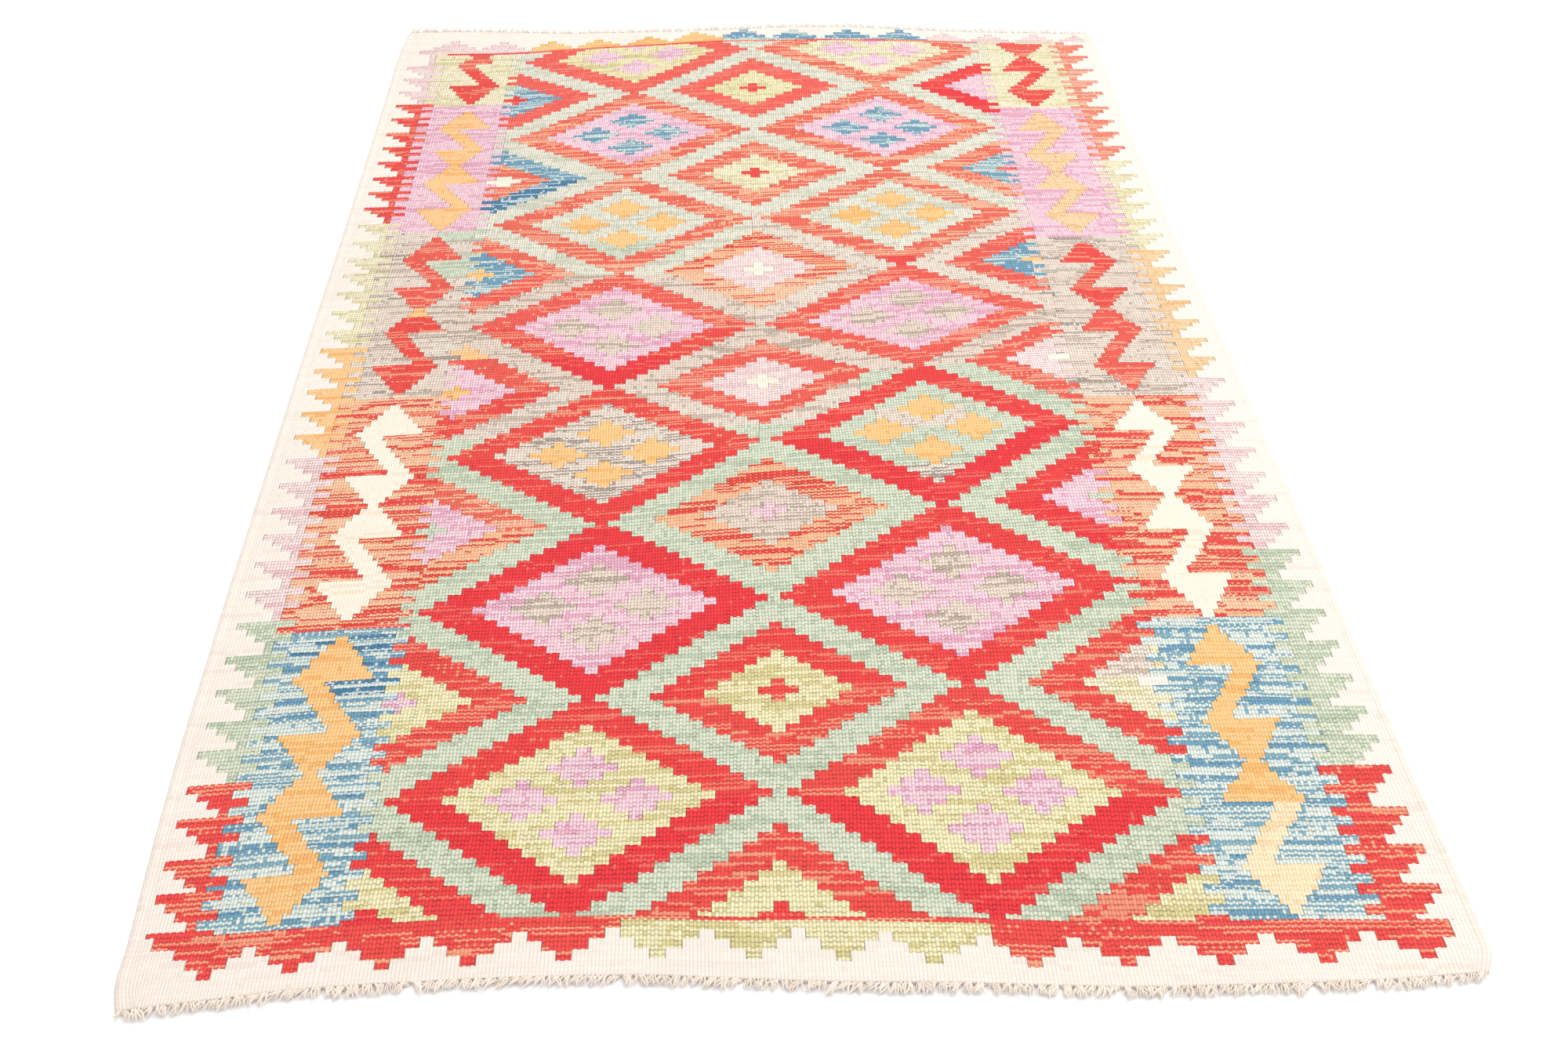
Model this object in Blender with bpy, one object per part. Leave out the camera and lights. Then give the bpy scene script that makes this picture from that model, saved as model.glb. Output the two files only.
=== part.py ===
"""A flat-woven kilim rug that lies flat on a floor.

The cloth is one tapestry-woven web. Its warps run along the rug, in Y, and its long edges
are woven-in selvedges. At each end the warps are tied off in a row of small knots, and
their cut ends lie on the floor beyond the knots. The near end of the rug is at -Y and its
left side is at -X. All sizes are in metres unless a name or a heading says mm.
"""
import random

import bmesh
import bpy
import numpy as np

MM = 0.001

# The cloth, at its widest and longest.
CLOTH_WIDTH = 1.054
CLOTH_LENGTH = 1.631
CLOTH_THICKNESS = 0.0030
CLOTH_ROWS = 26
CLOTH_COLUMNS = 30
UNDERSIDE_INSET = 0.0006

# How far each long edge runs inside the widest line.
# place along the rug (0 near, 1 far), left inset in mm, right inset in mm
SIDE_INSETS = (
    (0.000, 12, 9),
    (0.010, 7, 1),
    (0.035, 6, 0),
    (0.080, 3, 1),
    (0.155, 0, 2),
    (0.340, 1, 3),
    (0.500, 3, 4),
    (0.655, 6, 7),
    (0.840, 8, 9),
    (0.985, 12, 6),
    (1.000, 14, 8),
)

# How far each woven end runs inside the longest line.
# place across the rug (0 left, 1 right), near inset in mm, far inset in mm
END_INSETS = (
    (0.00, 5, 23),
    (0.06, 12, 20),
    (0.14, 20, 21),
    (0.22, 23, 24),
    (0.30, 24, 22),
    (0.37, 23, 18),
    (0.45, 17, 12),
    (0.52, 12, 4),
    (0.60, 9, 0),
    (0.68, 4, 3),
    (0.76, 0, 13),
    (0.84, 0, 18),
    (0.92, 1, 21),
    (1.00, 5, 24),
)

# The selvedge: a doubled outer warp makes a bead, with a shallow groove inside it.
# distance in from the long edge in mm, height of the upper face in mm
SELVEDGE_SECTION = (
    (0.0, 1.4),
    (1.2, 3.0),
    (4.0, 3.6),
    (7.0, 3.3),
    (9.0, 2.5),
    (11.5, 3.0),
)

# The tied warp ends: a narrow backing of locked warps, then one lock for each knot.
PIECE_GAP = 0.0004
BACKING_WIDTH = 0.0022
BACKING_HEIGHT = 0.0028
KNOT_PITCH = 0.0092
STRIP_END_MARGIN = 0.004
ROOT_SHARE = 0.62
NEAR_END_LENGTH = 0.0090
FAR_END_LENGTH = 0.0150
NEAR_LEAN = -0.0036
FAR_LEAN = -0.0010
LENGTH_SPREAD = 0.0011
LEAN_SPREAD = 0.0008

# The rings of one lock after its root.
# share of the lock's length, share of its lean, half width in mm, height in mm
LOCK_RINGS = (
    (0.30, 0.20, 3.5, 4.3),
    (1.00, 1.00, 2.3, 1.5),
)


def smooth_insets(rows, column, places):
    """Read one column of insets at many places, along a smooth curve through its rows."""
    knots = np.array([row[0] for row in rows])
    values = np.array([row[column] for row in rows], dtype=float)
    slopes = np.gradient(values, knots)
    index = np.clip(np.searchsorted(knots, places, side="right") - 1, 0, len(knots) - 2)
    span = knots[index + 1] - knots[index]
    share = (places - knots[index]) / span
    rise = values[index + 1] - values[index]
    start_pull = slopes[index] * span - rise
    end_pull = rise - slopes[index + 1] * span
    bend = share * (1 - share) * ((1 - share) * start_pull + share * end_pull)
    return np.maximum(values[index] + share * rise + bend, 0.0) * MM


def make_material(name, colour, roughness):
    material = bpy.data.materials.new(name)
    material.use_nodes = True
    shader = material.node_tree.nodes["Principled BSDF"]
    shader.inputs["Base Color"].default_value = (*colour, 1.0)
    shader.inputs["Roughness"].default_value = roughness
    shader.inputs["Metallic"].default_value = 0.0
    material.diffuse_color = (*colour, 1.0)
    return material


def make_object(name, mesh_builder, material):
    """Turn a finished bmesh into a scene object with outward faces."""
    bmesh.ops.recalc_face_normals(mesh_builder, faces=mesh_builder.faces)
    mesh = bpy.data.meshes.new(name)
    mesh_builder.to_mesh(mesh)
    mesh_builder.free()
    mesh.materials.append(material)
    part = bpy.data.objects.new(name, mesh)
    bpy.context.scene.collection.objects.link(part)
    return part


def cloth_places():
    """The cloth's grid: places across (with the selvedge's own columns) and along."""
    bead = np.array([row[0] for row in SELVEDGE_SECTION]) * MM / CLOTH_WIDTH
    middle = np.linspace(0.0, 1.0, CLOTH_COLUMNS + 1)[1:-1]
    across = np.concatenate([bead, middle, 1.0 - bead[::-1]])
    ends = np.array([0.0, 0.004, 0.010, 0.020])
    middle = np.linspace(0.0, 1.0, CLOTH_ROWS + 1)[1:-1]
    along = np.concatenate([ends, middle, 1.0 - ends[::-1]])
    return across, along


def cloth_grid():
    """World X and Y of every grid point, rows along the rug and columns across it."""
    across, along = cloth_places()
    left = -CLOTH_WIDTH / 2 + smooth_insets(SIDE_INSETS, 1, along)
    right = CLOTH_WIDTH / 2 - smooth_insets(SIDE_INSETS, 2, along)
    near = -CLOTH_LENGTH / 2 + smooth_insets(END_INSETS, 1, across)
    far = CLOTH_LENGTH / 2 - smooth_insets(END_INSETS, 2, across)
    x = left[:, None] + (right - left)[:, None] * across[None, :]
    y = near[None, :] + (far - near)[None, :] * along[:, None]
    return x, y


def cloth_heights():
    """Height of the upper face at each column: level cloth between the two selvedges."""
    bead = [height * MM for _, height in SELVEDGE_SECTION]
    level = [CLOTH_THICKNESS] * (CLOTH_COLUMNS - 1)
    return bead + level + bead[::-1]


def rim_of(grid):
    """The grid's outer points in order, once round."""
    return grid[0] + [row[-1] for row in grid[1:]] + grid[-1][-2::-1] + [row[0] for row in grid[-2:0:-1]]


def build_cloth(x, y, material):
    mesh_builder = bmesh.new()
    rows, columns = x.shape
    heights = cloth_heights()
    top = [[mesh_builder.verts.new((x[r, c], y[r, c], heights[c])) for c in range(columns)]
           for r in range(rows)]
    for r in range(rows - 1):
        for c in range(columns - 1):
            mesh_builder.faces.new((top[r][c], top[r][c + 1], top[r + 1][c + 1], top[r + 1][c]))
    upper_rim = rim_of(top)
    lower_rim = []
    for vertex in upper_rim:
        inset = UNDERSIDE_INSET if vertex.co.z < CLOTH_THICKNESS / 2 else 0.0
        side = 1.0 if vertex.co.x > 0.0 else -1.0
        lower_rim.append(mesh_builder.verts.new((vertex.co.x - side * inset, vertex.co.y, 0.0)))
    count = len(upper_rim)
    for i in range(count):
        after = (i + 1) % count
        mesh_builder.faces.new((lower_rim[i], lower_rim[after], upper_rim[after], upper_rim[i]))
    mesh_builder.faces.new(lower_rim[::-1])
    return make_object("cloth", mesh_builder, material)


def lock_ring(mesh_builder, centre_x, edge_y, outward, out, half_width, height):
    """Four corners of a lock's section, its underside on the floor."""
    y = edge_y + outward * out
    corners = ((-1, 0.0), (1, 0.0), (1, height), (-1, height))
    return [mesh_builder.verts.new((centre_x + side * half_width, y, z)) for side, z in corners]


def bridge_ring(mesh_builder, first, second):
    for i in range(4):
        after = (i + 1) % 4
        mesh_builder.faces.new((first[i], first[after], second[after], second[i]))


def build_fringe(name, edge_x, edge_y, outward, length, lean, seed, material):
    """One end's knots and cut warp ends, on a backing that follows the cloth's end."""
    chance = random.Random(seed)
    mesh_builder = bmesh.new()
    start = edge_x[0] + STRIP_END_MARGIN
    stop = edge_x[-1] - STRIP_END_MARGIN
    count = int((stop - start) / KNOT_PITCH)
    pitch = (stop - start) / count
    root_half = pitch * ROOT_SHARE / 2
    previous = None
    for i in range(count):
        centre = start + (i + 0.5) * pitch
        lock_length = length + chance.uniform(-LENGTH_SPREAD, LENGTH_SPREAD)
        lock_lean = lean + chance.uniform(-LEAN_SPREAD, LEAN_SPREAD)
        pair = []
        for x in (centre - root_half, centre + root_half):
            inner = np.interp(x, edge_x, edge_y) + outward * PIECE_GAP
            outer = inner + outward * BACKING_WIDTH
            levels = ((inner, 0.0), (outer, 0.0), (outer, BACKING_HEIGHT), (inner, BACKING_HEIGHT))
            pair.append([mesh_builder.verts.new((x, y, z)) for y, z in levels])
        if previous is None:
            mesh_builder.faces.new(pair[0])
        else:
            bridge_ring(mesh_builder, previous, pair[0])
        left, right = pair
        for a, b in ((0, 1), (2, 3), (3, 0)):
            mesh_builder.faces.new((left[a], right[a], right[b], left[b]))
        ring = [left[1], right[1], right[2], left[2]]
        root_y = np.interp(centre, edge_x, edge_y) + outward * (PIECE_GAP + BACKING_WIDTH)
        for length_share, lean_share, half_width, height in LOCK_RINGS:
            after = lock_ring(mesh_builder, centre + lock_lean * lean_share, root_y, outward,
                              lock_length * length_share, half_width * MM, height * MM)
            bridge_ring(mesh_builder, ring, after)
            ring = after
        mesh_builder.faces.new(ring)
        previous = right
    mesh_builder.faces.new(previous)
    return make_object(name, mesh_builder, material)


def centre_on_floor(parts):
    """Move all the parts together, so their box is centred over the origin."""
    points = np.array([vertex.co for part in parts for vertex in part.data.vertices])
    low, high = points.min(axis=0), points.max(axis=0)
    for part in parts:
        part.location.x = -(low[0] + high[0]) / 2
        part.location.y = -(low[1] + high[1]) / 2


def main():
    for old in list(bpy.data.objects):
        bpy.data.objects.remove(old, do_unlink=True)
    wool = make_material("dyed_wool", (0.78, 0.25, 0.22), 0.9)
    warp = make_material("cream_warp", (0.86, 0.80, 0.70), 0.9)
    x, y = cloth_grid()
    cloth = build_cloth(x, y, wool)
    near = build_fringe("fringe_near", x[0], y[0], -1.0, NEAR_END_LENGTH, NEAR_LEAN, 11, warp)
    far = build_fringe("fringe_far", x[-1], y[-1], 1.0, FAR_END_LENGTH, FAR_LEAN, 23, warp)
    centre_on_floor([cloth, near, far])


main()
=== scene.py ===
# %% [markdown]
# # A kilim rug, laid flat on a floor
#
# A kilim is a flat-woven tapestry rug. Coloured wool wefts are packed so tightly over the
# warps that only the wefts show, and each colour is woven back and forth inside its own
# area. This lesson builds such a rug in Blender: one sheet of cloth whose pattern is
# charted, two rows of tied warp ends, and a weave that is made by the material.
#
# The first cell loads the imported model. It is a fixed frame: the rug built here has to lie
# exactly where those solids lie.

# %% Load the frame
import math

import bpy
import numpy as np
from mathutils import Matrix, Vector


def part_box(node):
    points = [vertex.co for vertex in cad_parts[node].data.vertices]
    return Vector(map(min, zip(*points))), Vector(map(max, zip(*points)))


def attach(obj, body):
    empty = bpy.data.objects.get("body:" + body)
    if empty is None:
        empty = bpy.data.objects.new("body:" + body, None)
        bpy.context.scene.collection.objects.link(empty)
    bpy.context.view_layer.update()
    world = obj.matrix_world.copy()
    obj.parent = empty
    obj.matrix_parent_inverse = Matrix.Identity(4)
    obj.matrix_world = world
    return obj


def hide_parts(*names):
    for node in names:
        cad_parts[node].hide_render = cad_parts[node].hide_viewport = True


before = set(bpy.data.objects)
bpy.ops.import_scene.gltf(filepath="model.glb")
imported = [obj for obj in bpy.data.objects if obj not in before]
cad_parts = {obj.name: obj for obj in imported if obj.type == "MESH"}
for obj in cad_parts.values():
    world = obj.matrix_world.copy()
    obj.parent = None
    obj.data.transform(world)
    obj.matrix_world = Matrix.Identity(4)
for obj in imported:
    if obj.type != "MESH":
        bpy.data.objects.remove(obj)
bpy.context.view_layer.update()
cloth_low, cloth_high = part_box("cloth")
print("solids:", sorted(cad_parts))
print("cloth box in mm:", [round(1000 * (b - a), 1) for a, b in zip(cloth_low, cloth_high)])

# %% [markdown]
# ## A plan of the rug
#
# A weaver works from a plan seen from above. Ours is in millimetres: x runs from left to
# right and y from the near end to the far end. Its zero point is a corner of the woven
# pattern, a little inside the cloth's own corner.
#
# Hand-woven lines are never quite straight. So most lines here are smooth curves through
# a few named places, and one helper reads them all.

# %% Plan and curves
MM = 0.001
PLAN_LEFT = -15.6
PLAN_RIGHT = 1038.4
PLAN_NEAR = -5.7
PLAN_FAR = 1625.3


def curve_through(knots, values, places):
    """Read a smooth curve through values at knots. Values may hold a whole row for each knot."""
    knots = np.asarray(knots, dtype=float)
    values = np.asarray(values, dtype=float)
    slopes = np.gradient(values, knots, axis=0)
    places = np.clip(places, knots[0], knots[-1])
    index = np.clip(np.searchsorted(knots, places, side="right") - 1, 0, len(knots) - 2)
    span = knots[index + 1] - knots[index]
    share = (places - knots[index]) / span
    rise = values[index + 1] - values[index]
    start_pull = slopes[index] * span - rise
    end_pull = rise - slopes[index + 1] * span
    bend = share * (1 - share) * ((1 - share) * start_pull + share * end_pull)
    return values[index] + share * rise + bend


def read(rows, column, places):
    """Read one column of a table whose first column is the place."""
    return curve_through([row[0] for row in rows], [row[column] for row in rows], places)


def to_world(x, y):
    """Plan millimetres to scene metres."""
    return cloth_low[0] + (x - PLAN_LEFT) * MM, cloth_low[1] + (y - PLAN_NEAR) * MM


print("plan is", PLAN_RIGHT - PLAN_LEFT, "by", PLAN_FAR - PLAN_NEAR, "mm")

# %% [markdown]
# ## The outline
#
# The four edges wander by up to two centimetres, as they do on the real cloth, because
# the warps relax when it comes off the loom. The tables are those of the solid, so that
# the cloth fills the solid's own outline.

# %% Edges of the cloth
# place along the rug (0 near, 1 far), left inset in mm, right inset in mm
SIDE_INSETS = (
    (0.000, 12, 9), (0.010, 7, 1), (0.035, 6, 0), (0.080, 3, 1), (0.155, 0, 2), (0.340, 1, 3),
    (0.500, 3, 4), (0.655, 6, 7), (0.840, 8, 9), (0.985, 12, 6), (1.000, 14, 8),
)

# place across the rug (0 left, 1 right), near inset in mm, far inset in mm
END_INSETS = (
    (0.00, 5, 23), (0.06, 12, 20), (0.14, 20, 21), (0.22, 23, 24), (0.30, 24, 22),
    (0.37, 23, 18), (0.45, 17, 12), (0.52, 12, 4), (0.60, 9, 0), (0.68, 4, 3), (0.76, 0, 13),
    (0.84, 0, 18), (0.92, 1, 21), (1.00, 5, 24),
)


def side_edges(y):
    """X of the left and right edge at a height y of the plan."""
    near = PLAN_NEAR + END_INSETS[0][1]
    far = PLAN_FAR - END_INSETS[0][2]
    share = (np.asarray(y, dtype=float) - near) / (far - near)
    left = PLAN_LEFT + np.maximum(read(SIDE_INSETS, 1, share), 0)
    right = PLAN_RIGHT - np.maximum(read(SIDE_INSETS, 2, share), 0)
    return left, right


def end_edges(x):
    """Y of the near and far edge at a place x of the plan."""
    left = PLAN_LEFT + SIDE_INSETS[0][1]
    right = PLAN_RIGHT - SIDE_INSETS[0][2]
    share = (np.asarray(x, dtype=float) - left) / (right - left)
    near = PLAN_NEAR + np.maximum(read(END_INSETS, 1, share), 0)
    far = PLAN_FAR - np.maximum(read(END_INSETS, 2, share), 0)
    return near, far


print("near edge at the middle:", round(float(end_edges(512)[0]), 1), "mm")

# %% [markdown]
# ## The dyed yarns
#
# Hand-dyed wool is never one even colour. Each yarn here has a main dye and a second dye,
# and three shares that say how the second dye shows: in whole rows of weft, in thin lines,
# and in single beads. Streaky reds, lines in the grey and the salt and pepper of the blue
# all come from these numbers.

# %% Yarns
# name: dye, second dye (screen colours from 0 to 255), shares of rows, of lines, of beads
YARNS = {
    "cream": ((234, 222, 211), (231, 217, 204), 0.05, 0.04, 0.02),
    "cream_figure": ((235, 223, 206), (232, 215, 192), 0.08, 0.05, 0.02),
    "deep_red": ((231, 60, 65), (237, 100, 90), 0.05, 0.12, 0.02),
    "red": ((233, 69, 69), (239, 118, 100), 0.06, 0.26, 0.02),
    "red_dashed": ((234, 78, 74), (247, 158, 124), 0.04, 0.52, 0.02),
    "orange_red": ((232, 78, 72), (241, 147, 119), 0.10, 0.36, 0.02),
    "soft_red": ((234, 94, 82), (243, 162, 137), 0.12, 0.38, 0.02),
    "plain_red": ((238, 98, 88), (241, 132, 114), 0.08, 0.30, 0.02),
    "coral": ((231, 106, 88), (243, 182, 150), 0.20, 0.46, 0.02),
    "faded_coral": ((236, 132, 110), (246, 192, 168), 0.20, 0.40, 0.02),
    "peach_zigzag": ((244, 191, 157), (226, 84, 72), 0.12, 0.38, 0.00),
    "orange_zigzag": ((243, 183, 143), (224, 70, 62), 0.18, 0.48, 0.00),
    "sage": ((209, 214, 190), (188, 199, 173), 0.18, 0.14, 0.08),
    "mint": ((207, 212, 190), (186, 196, 172), 0.18, 0.14, 0.08),
    "pale_mint": ((224, 220, 203), (205, 205, 184), 0.18, 0.12, 0.06),
    "lime": ((233, 222, 178), (214, 202, 144), 0.20, 0.16, 0.05),
    "pale_lime": ((235, 225, 192), (219, 207, 160), 0.20, 0.14, 0.05),
    "lilac": ((238, 199, 209), (226, 167, 188), 0.24, 0.14, 0.05),
    "pale_lilac": ((238, 202, 213), (228, 175, 194), 0.20, 0.12, 0.05),
    "dusty_pink": ((240, 214, 210), (233, 195, 194), 0.22, 0.12, 0.04),
    "pale_pink": ((240, 214, 210), (234, 199, 197), 0.20, 0.10, 0.04),
    "grey": ((225, 206, 190), (186, 168, 152), 0.14, 0.22, 0.04),
    "pale_grey": ((226, 211, 196), (200, 182, 166), 0.14, 0.16, 0.04),
    "grey_lined": ((228, 212, 197), (164, 150, 140), 0.06, 0.46, 0.02),
    "orange": ((242, 191, 130), (238, 176, 107), 0.20, 0.08, 0.04),
    "soft_orange": ((243, 192, 138), (238, 174, 108), 0.22, 0.10, 0.04),
    "wheat": ((243, 217, 181), (240, 206, 162), 0.20, 0.12, 0.04),
    "pale_orange": ((243, 203, 160), (240, 187, 132), 0.22, 0.10, 0.04),
    "blue_deep": ((78, 126, 158), (200, 214, 216), 0.10, 0.36, 0.06),
    "blue": ((112, 155, 178), (206, 218, 212), 0.18, 0.42, 0.06),
    "blue_light": ((216, 224, 215), (130, 170, 186), 0.08, 0.36, 0.06),
}
YARN_NAMES = list(YARNS)


def linear(screen):
    """A screen colour as linear light."""
    share = np.asarray(screen, dtype=float) / 255
    return np.where(share <= 0.04045, share / 12.92, ((share + 0.055) / 1.055) ** 2.4)


print(len(YARNS), "yarns")

# %% [markdown]
# ## The field
#
# The middle of the rug is a lattice of diamonds. A weaver counts it: a cell is four warps
# wide and one small step high. Two columns of large diamonds stand tip to tip, with a
# smaller diamond between every four. Each is a ring, a filling and a figure, and one rule
# of counted steps gives them all: the number of cells sideways plus the number of cells up
# or down.
#
# Each diamond could be drawn as an outline of its own. Counting is much shorter, and it is
# how the pattern was woven, so every edge falls on a step of the weave by itself. Only the
# colours change from diamond to diamond. They go in tables, one line for each row of
# diamonds from the near end.

# %% Tables of the diamonds
LATTICE_STEP = 26
LARGE_REACH, LARGE_FILL, STAR_PLACE, STAR_REACH = 13, 9, 4, 2
SMALL_REACH, SMALL_FILL, CROSS_REACH = 9, 5, 1
LARGE_COLUMNS = (14, 42)
SMALL_COLUMNS = (0, 28, 56)

# ring near half, ring far half, filling, stars: first the left diamond, then the right one
LARGE_DIAMONDS = (
    (("deep_red", "red", "lime", "lilac"), ("deep_red", "orange_red", "lime", "lilac")),
    (("deep_red", "deep_red", "lilac", "grey"), ("red", "red", "lilac", "grey")),
    (("red", "orange_red", "grey_lined", "orange"), ("deep_red", "red", "mint", "orange")),
    (("orange_red", "soft_red", "lilac", "grey"), ("soft_red", "soft_red", "lilac", "grey")),
    (("coral", "coral", "pale_mint", "orange"), ("coral", "coral", "pale_mint", "orange")),
    (("coral", "coral", "pale_lilac", "blue"), ("coral", "coral", "pale_lilac", "blue")),
    (("plain_red", "plain_red", "lime", "pale_lilac"), ("coral", "coral", "pale_lime", "pale_lilac")),
)

# ring near half, ring far half, filling, cross: left, middle and right
SMALL_DIAMONDS = (
    (("red", "red", "lime", "deep_red"),
     ("orange_red", "orange_red", "lime", "red"), ("orange_red", "orange_red", "lime", "red")),
    (("orange_red", "orange_red", "lime", "lilac"),
     ("orange_red", "red", "lime", "orange_red"), ("orange_red", "orange_red", "pale_lime", "cream")),
    (("orange_zigzag", "coral", "lilac", "mint"),
     ("orange_zigzag", "orange_zigzag", "grey", "lilac"), ("deep_red", "red", "lilac", "mint")),
    (("orange_red", "soft_red", "lilac", "orange"),
     ("soft_red", "soft_red", "pale_pink", "cream_figure"),
     ("soft_red", "soft_red", "pale_pink", "cream_figure")),
    (("soft_red", "coral", "blue", "orange"),
     ("peach_zigzag", "orange_zigzag", "pale_pink", "cream_figure"),
     ("soft_red", "soft_red", "blue", "orange")),
    (("blue_deep", "blue", "coral", "cream_figure"),
     ("coral", "coral", "pale_lime", "orange_red"), ("coral", "coral", "blue", "orange_red")),
    (("plain_red", "plain_red", "blue", "red"),
     ("plain_red", "plain_red", "lime", "red"), ("deep_red", "red", "lilac", "lilac")),
)

# the rows of diamonds are numbered from 0
LAST_LINE = len(LARGE_DIAMONDS) - 1

# the band between the diamonds: from this lattice row on, left part, right part, and the
# first column of the right part
BAND_YARNS = (
    (0, "sage", "sage", 28), (66, "sage", "mint", 28), (69, "pale_grey", "mint", 37),
    (78, "grey", "grey", 28), (91, "grey", "pale_grey", 28), (104, "pale_mint", "pale_grey", 28),
    (119, "pale_mint", "pale_mint", 28),
)

# where a dye lot ran out: first and last row, first and last column, old yarn, new yarn
DYE_CHANGES = (
    (0, 0, 0, 2, "lime", "deep_red"), (1, 1, 0, 1, "lime", "deep_red"),
    (78, 84, 5, 23, "orange_red", "deep_red"), (53, 58, 37, 46, "mint", "grey_lined"),
    (66, 69, 38, 45, "mint", "pale_grey"), (27, 31, 50, 56, "pale_lime", "pale_grey"),
    (85, 87, 0, 5, "soft_red", "soft_orange"), (129, 131, 0, 1, "coral", "cream_figure"),
    (130, 130, 2, 2, "coral", "cream_figure"), (108, 112, 8, 20, "pale_mint", "mint"),
    (52, 52, 29, 32, "grey", "grey_lined"), (104, 106, 38, 44, "coral", "orange_red"),
)
print(len(LARGE_DIAMONDS), "rows of large diamonds and", len(SMALL_DIAMONDS), "of small ones")

# %% The rule of the diamonds
def band_yarn(column, row):
    """The yarn of the band that runs between the diamonds."""
    for start, left, right, first_right in reversed(BAND_YARNS):
        if row >= start:
            return left if column < first_right else right
    return BAND_YARNS[0][1]


def changed(yarn, column, row):
    """The yarn that takes over where a dye lot ran out."""
    for first_row, last_row, first_column, last_column, old, new in DYE_CHANGES:
        if first_row <= row <= last_row and first_column <= column <= last_column and yarn == old:
            return new
    return yarn


def field_yarn(column, row):
    """The yarn of one lattice cell, by counting from the nearest diamonds."""
    floor_row = row // LATTICE_STEP
    up = row - (floor_row * LATTICE_STEP + LARGE_REACH)
    for side, centre in enumerate(LARGE_COLUMNS):
        across = column - centre
        if abs(across) + abs(up) <= LARGE_REACH:
            near_ring, far_ring, filling, star = LARGE_DIAMONDS[min(floor_row, LAST_LINE)][side]
            beside = abs(abs(across) - STAR_PLACE) + abs(up)
            above = abs(across) + abs(abs(up) - STAR_PLACE)
            if min(beside, above) <= STAR_REACH:
                return star
            if abs(across) + abs(up) <= LARGE_FILL:
                return filling
            return near_ring if up < 0 else far_ring
    line = (row + LATTICE_STEP // 2) // LATTICE_STEP
    up = row - line * LATTICE_STEP
    for place, centre in enumerate(SMALL_COLUMNS):
        steps = abs(column - centre) + abs(up)
        if steps <= SMALL_REACH:
            near_ring, far_ring, filling, cross = SMALL_DIAMONDS[min(line, LAST_LINE)][place]
            if steps <= CROSS_REACH:
                return cross
            if steps <= SMALL_FILL:
                return filling
            return near_ring if up < 0 else far_ring
    return band_yarn(column, row)


print("one repeat:", LATTICE_STEP, "rows by", LARGE_COLUMNS[1] - LARGE_COLUMNS[0], "columns")

# %% [markdown]
# ## Where the rows and columns lie
#
# The cloth is drawn on a grid whose lines follow the weaving. Five guide columns carry
# the lattice, each through the middles of its own diamonds. The rows between them bend
# as the real wefts do, a few centimetres higher in one place than in another.
#
# A row of the grid is half a lattice row. Every line also gets a ripple of less than a
# millimetre, because no beat of the comb is even. A straight grid would be simpler, but its
# diamonds would all be alike, and the eye takes that for print and not for weaving.

# %% Guides of the field
# grid rows, two for each lattice row
HALF_ROWS = 345

# lattice columns that carry the guides
GUIDE_COLUMNS = (0, 14, 28, 42, 56)

# lattice row, then y in mm where it crosses the five guide columns
ROW_GUIDES = (
    (0, 67, 70, 64, 57, 50), (13, 183, 180, 184, 180, 173), (26, 289, 290, 295, 300, 297),
    (39, 398, 402, 412, 418, 426), (52, 508, 516, 532, 539, 548), (65, 618, 623, 642, 659, 666),
    (78, 728, 735, 743, 771, 784), (91, 846, 847, 850, 869, 883), (104, 955, 957, 965, 974, 982),
    (117, 1065, 1067, 1080, 1088, 1093), (130, 1168, 1183, 1191, 1202, 1200),
    (143, 1278, 1295, 1308, 1313, 1312), (156, 1388, 1412, 1429, 1434, 1433),
    (169, 1503, 1527, 1550, 1550.5, 1542), (172.5, 1539, 1562, 1580, 1583, 1573.5),
)

# lattice row, then x in mm of the five guide columns
COLUMN_GUIDES = (
    (0, 158, 322, 488, 658, 832), (26, 160, 328, 496, 666, 840), (52, 161, 330, 497, 673, 842.5),
    (78, 162, 329, 498, 674, 841), (104, 166, 333, 501, 676, 842.5), (130, 169, 337, 504, 680, 845),
    (156, 173, 340, 508, 687, 849), (172.5, 174, 341, 511, 694, 858),
)
LAST_GUIDE = GUIDE_COLUMNS[-1]

# cells between an outer guide and a long edge
EDGE_CELLS = 14

# mm by which the rows drop from the outer guides to the long edges: near end, far end
LEFT_DROP = (-10, -12)
RIGHT_DROP = (-4.5, 0)

lattice_rows = np.arange(HALF_ROWS + 1) / 2
along_share = lattice_rows / lattice_rows[-1]
guide_x = np.array([read(COLUMN_GUIDES, number, lattice_rows) for number in range(1, 6)])
guide_y = np.array([read(ROW_GUIDES, number, lattice_rows) for number in range(1, 6)])
print("field rows:", HALF_ROWS, "grid rows for", lattice_rows[-1], "lattice rows")

# %% Rows between the guides
WAVES = 6


def ripple(seed, rows, places, row_lengths, place_lengths, height):
    """A smooth seeded unevenness: six slanting waves added up."""
    chance = np.random.default_rng(seed)
    total = np.zeros(np.broadcast(rows, places).shape)
    for _ in range(WAVES):
        turn = chance.uniform(0, 2 * math.pi)
        row_length = chance.uniform(*row_lengths)
        place_length = chance.uniform(*place_lengths)
        total = total + np.sin(2 * math.pi * (rows / row_length + places / place_length) + turn)
    return total * height / math.sqrt(WAVES)


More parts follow.
